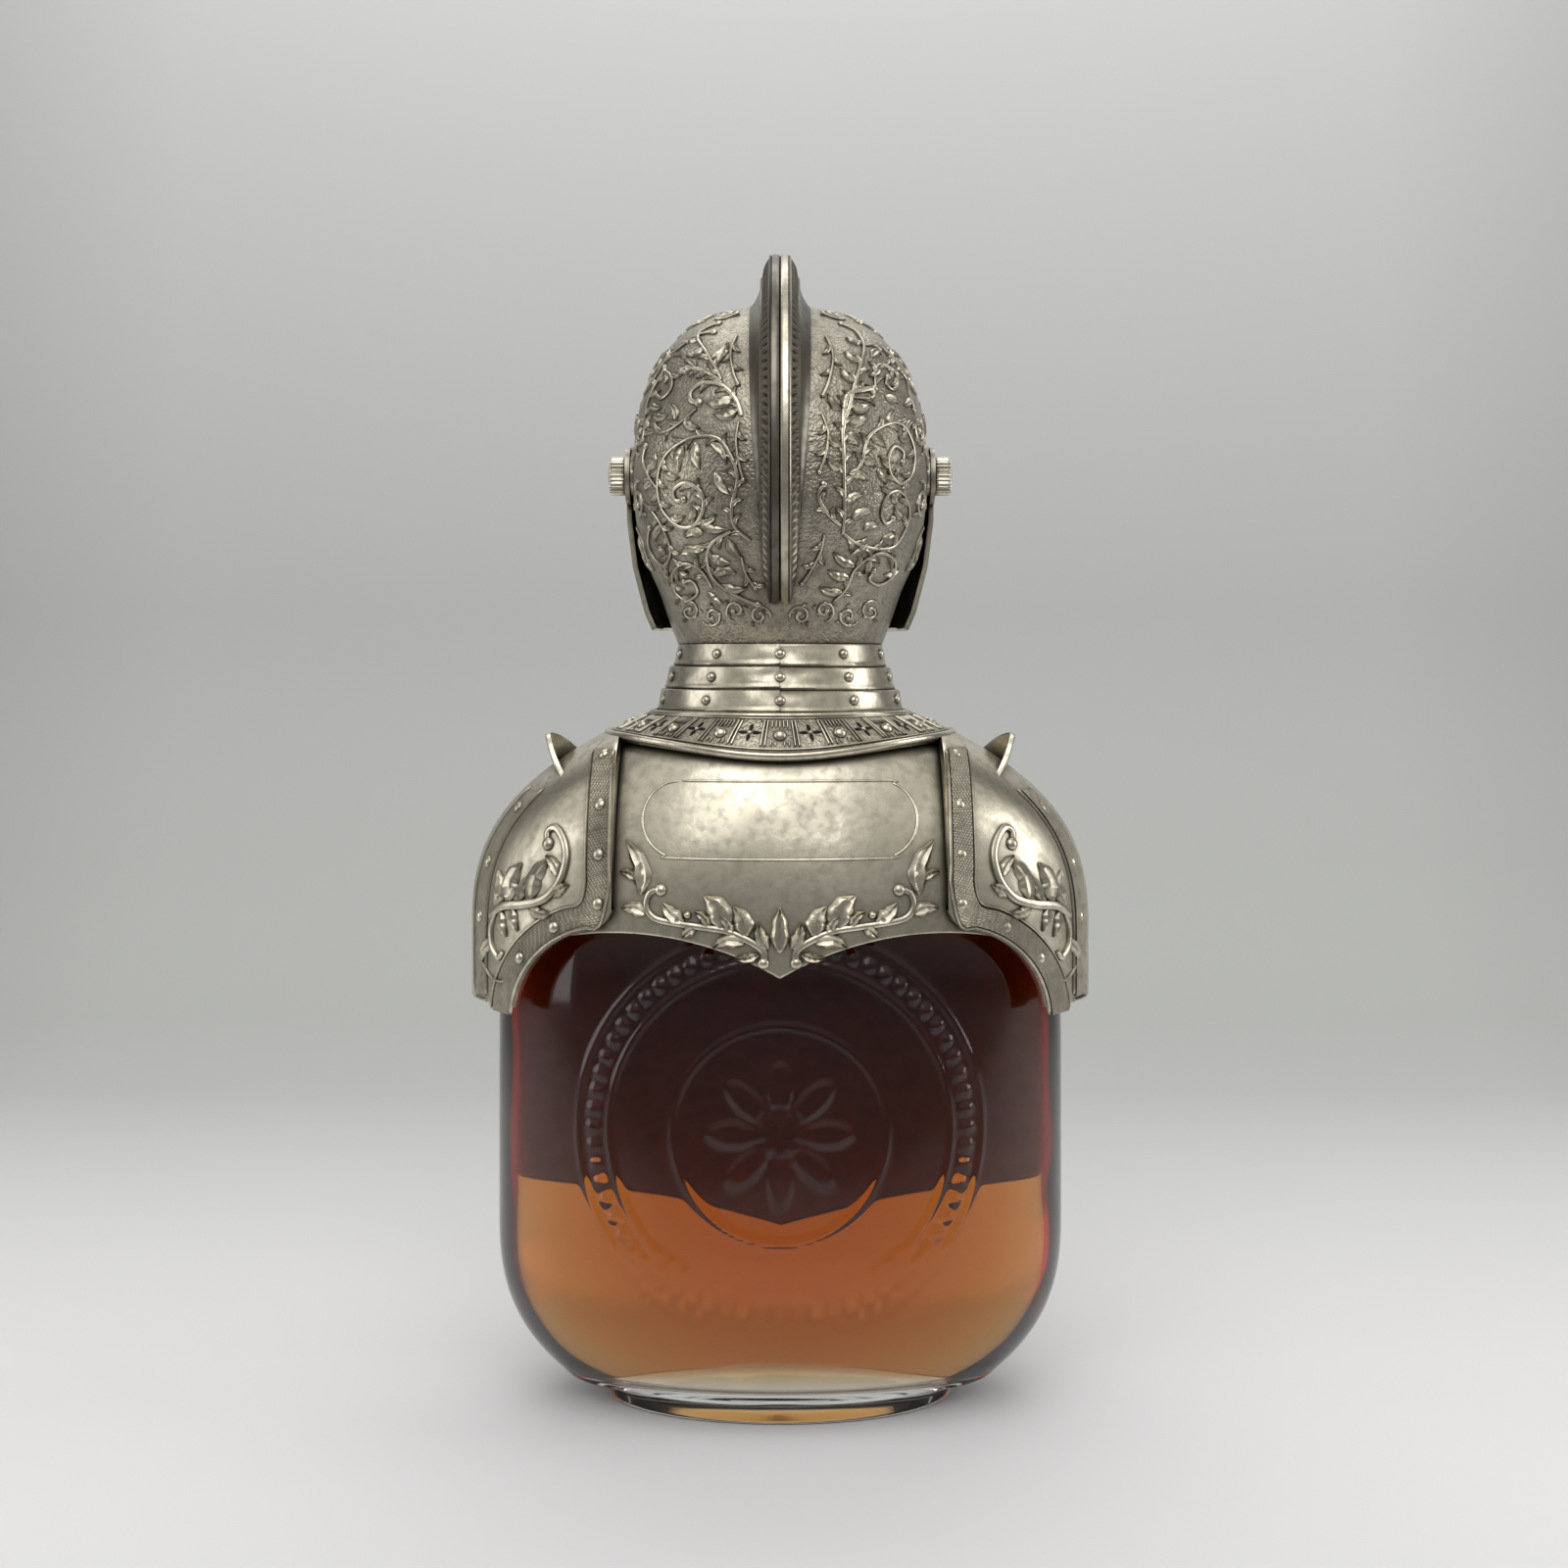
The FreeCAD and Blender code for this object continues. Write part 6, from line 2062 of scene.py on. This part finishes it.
@dataclass
class Studio:
    """The pale sweep, the soft lights and the camera."""

    eye: tuple[float, float, float] = (-0.0009, 0.495, 0.174)
    drop: float = 0.078
    lens: float = 47.6
    front: float = 1.6
    half_width: float = 1.6
    turn_start: float = -0.34
    turn_radius: float = 0.2
    wall_top: float = 2.2
    floor: Colour = (0.80, 0.795, 0.80)
    # Painted shade: bend is the grey where the floor turns up into the wall, far the darker floor away from
    # the object.
    bend: Colour = (0.44, 0.45, 0.435)
    far: Colour = (0.2, 0.2, 0.197)

    def build(self) -> None:
        """Set up the whole stage."""
        self.sweep()
        self.world()
        self.light("Key", (0.06, 0.68, 0.95), (0.0, 0.0, 0.15), (0.9, 1.1), 4.8)
        self.light("Left fill", (0.9, 0.16, 0.25), (0.0, 0.0, 0.2), (0.5, 0.7), 1.7)
        self.light("Right fill", (-0.9, 0.05, 0.36), (0.0, 0.0, 0.2), (0.4, 0.6), 2.0)
        self.light("Back", (0.0, -0.32, 0.75), (0.0, -0.2, 0.1), (0.8, 0.3), 1.4)
        self.camera()
        bpy.context.scene.view_settings.view_transform = "Standard"

    def sweep(self) -> None:
        """Lay the floor that curves up into the backdrop."""
        line = [(self.front, 0.0), (self.turn_start, 0.0)]
        for step in range(1, 13):
            turn = math.radians(90 * step / 12)
            line.append((self.turn_start - self.turn_radius * math.sin(turn),
                         self.turn_radius - self.turn_radius * math.cos(turn)))
        line.append((self.turn_start - self.turn_radius, self.wall_top))
        bench = Workbench()

        def place(across: float, along: float) -> Vector:
            """Return a corner of the sweep."""
            depth, height = line[round(along * (len(line) - 1))]
            return Vector((mix(self.half_width, -self.half_width, across), depth, height))

        bench.sheet(1, len(line) - 1, place)
        ground = bench.release("Sweep", self.sweep_finish())

    def sweep_finish(self) -> bpy.types.Material:
        """Make the pale finish, with painted shade: greyer where the floor turns up, and darker far from the
        object, outside a painted pool of light.

        Returns:
            The material.
        """
        finish, graph = start_finish("Pale sweep")
        place = graph.add("ShaderNodeSeparateXYZ", {0: graph.place()}).outputs
        # Painted shade: the floor greys behind the object into the turn, and the wall eases halfway back to
        # the floor colour higher up.
        near = graph.ramp(place[1], -0.42, -0.02)
        high = graph.ramp(place[2], 0.08, 0.5, 0.0, 0.5)
        colour = graph.blend(graph.math("MAXIMUM", near, high), (*self.bend, 1.0), (*self.floor, 1.0))
        # Painted pool of light: the floor darkens to the far colour away from the object, to the sides and
        # towards the camera.
        ahead = graph.math("MAXIMUM", graph.math("MULTIPLY_ADD", place[1], 4.0, -0.24), 0.0)
        squares = graph.math("ADD", graph.math("POWER", ahead, 2.0),
                             graph.math("MULTIPLY", place[0], place[0]))
        close = graph.ramp(graph.math("SQRT", squares), 0.3, 0.9, 1.0, 0.0)
        colour = graph.blend(close, (*self.far, 1.0), colour)
        surface = graph.add("ShaderNodeBsdfPrincipled", {"Base Color": colour, "Roughness": 0.8})
        graph.add("ShaderNodeOutputMaterial", {"Surface": surface.outputs[0]})
        return finish

    def world(self) -> None:
        """Light the room softly from above."""
        world = bpy.data.worlds.new("Room")
        bpy.context.scene.world = world
        world.use_nodes = True
        graph = Graph(world.node_tree)
        way = graph.add("ShaderNodeTexCoord").outputs["Generated"]
        up = graph.add("ShaderNodeSeparateXYZ", {0: way}).outputs[2]
        strength = graph.ramp(up, -0.1, 0.6, 0.2, 0.65)
        light = graph.add("ShaderNodeBackground", {"Color": (1.0, 0.99, 0.97, 1.0), "Strength": strength})
        graph.add("ShaderNodeOutputWorld", {"Surface": light.outputs[0]})

    def light(self, name: str, place: Sequence[float], aim: Sequence[float], size: Flat,
              power: float) -> None:
        """Hang one soft light.

        Args:
            name: The light's name.
            place: Where it hangs, in metres.
            aim: What it faces.
            size: Its width and height.
            power: Its power in watts.
        """
        lamp = bpy.data.lights.new(name, "AREA")
        lamp.shape = "RECTANGLE"
        lamp.size, lamp.size_y = size
        lamp.energy = power
        holder = bpy.data.objects.new(name, lamp)
        holder.location = place
        holder.rotation_euler = (Vector(aim) - Vector(place)).to_track_quat("-Z", "Y").to_euler()
        bpy.context.scene.collection.objects.link(holder)

    def camera(self) -> None:
        """Set the camera where the photo was taken from."""
        view = bpy.data.cameras.new("Camera")
        view.lens = self.lens
        view.sensor_width = 36.0
        view.shift_y = -self.drop
        view.clip_start = 0.01
        holder = bpy.data.objects.new("Camera", view)
        holder.location = self.eye
        holder.rotation_euler = (math.pi / 2, 0.0, math.pi)
        bpy.context.scene.collection.objects.link(holder)
        bpy.context.scene.camera = holder


def main() -> None:
    """Build the whole decanter and its stage."""
    logging.basicConfig(level=logging.INFO, format="%(name)s: %(message)s")
    finishes = Finishes()
    cape = CapeForm()
    HiddenPieces(finishes).build()
    Flask(finishes).build()
    Backplate(cape, finishes).build()
    Breastplate(cape, finishes).build()
    Collar(cape, finishes).build()
    for hand in (1, -1):
        Pauldron(cape, finishes, hand).build()
    Gorget(finishes).build()
    Skull(SkullForm(), finishes).build()
    Visor(finishes).build()
    Studio().build()


if __name__ == "__main__":
    main()
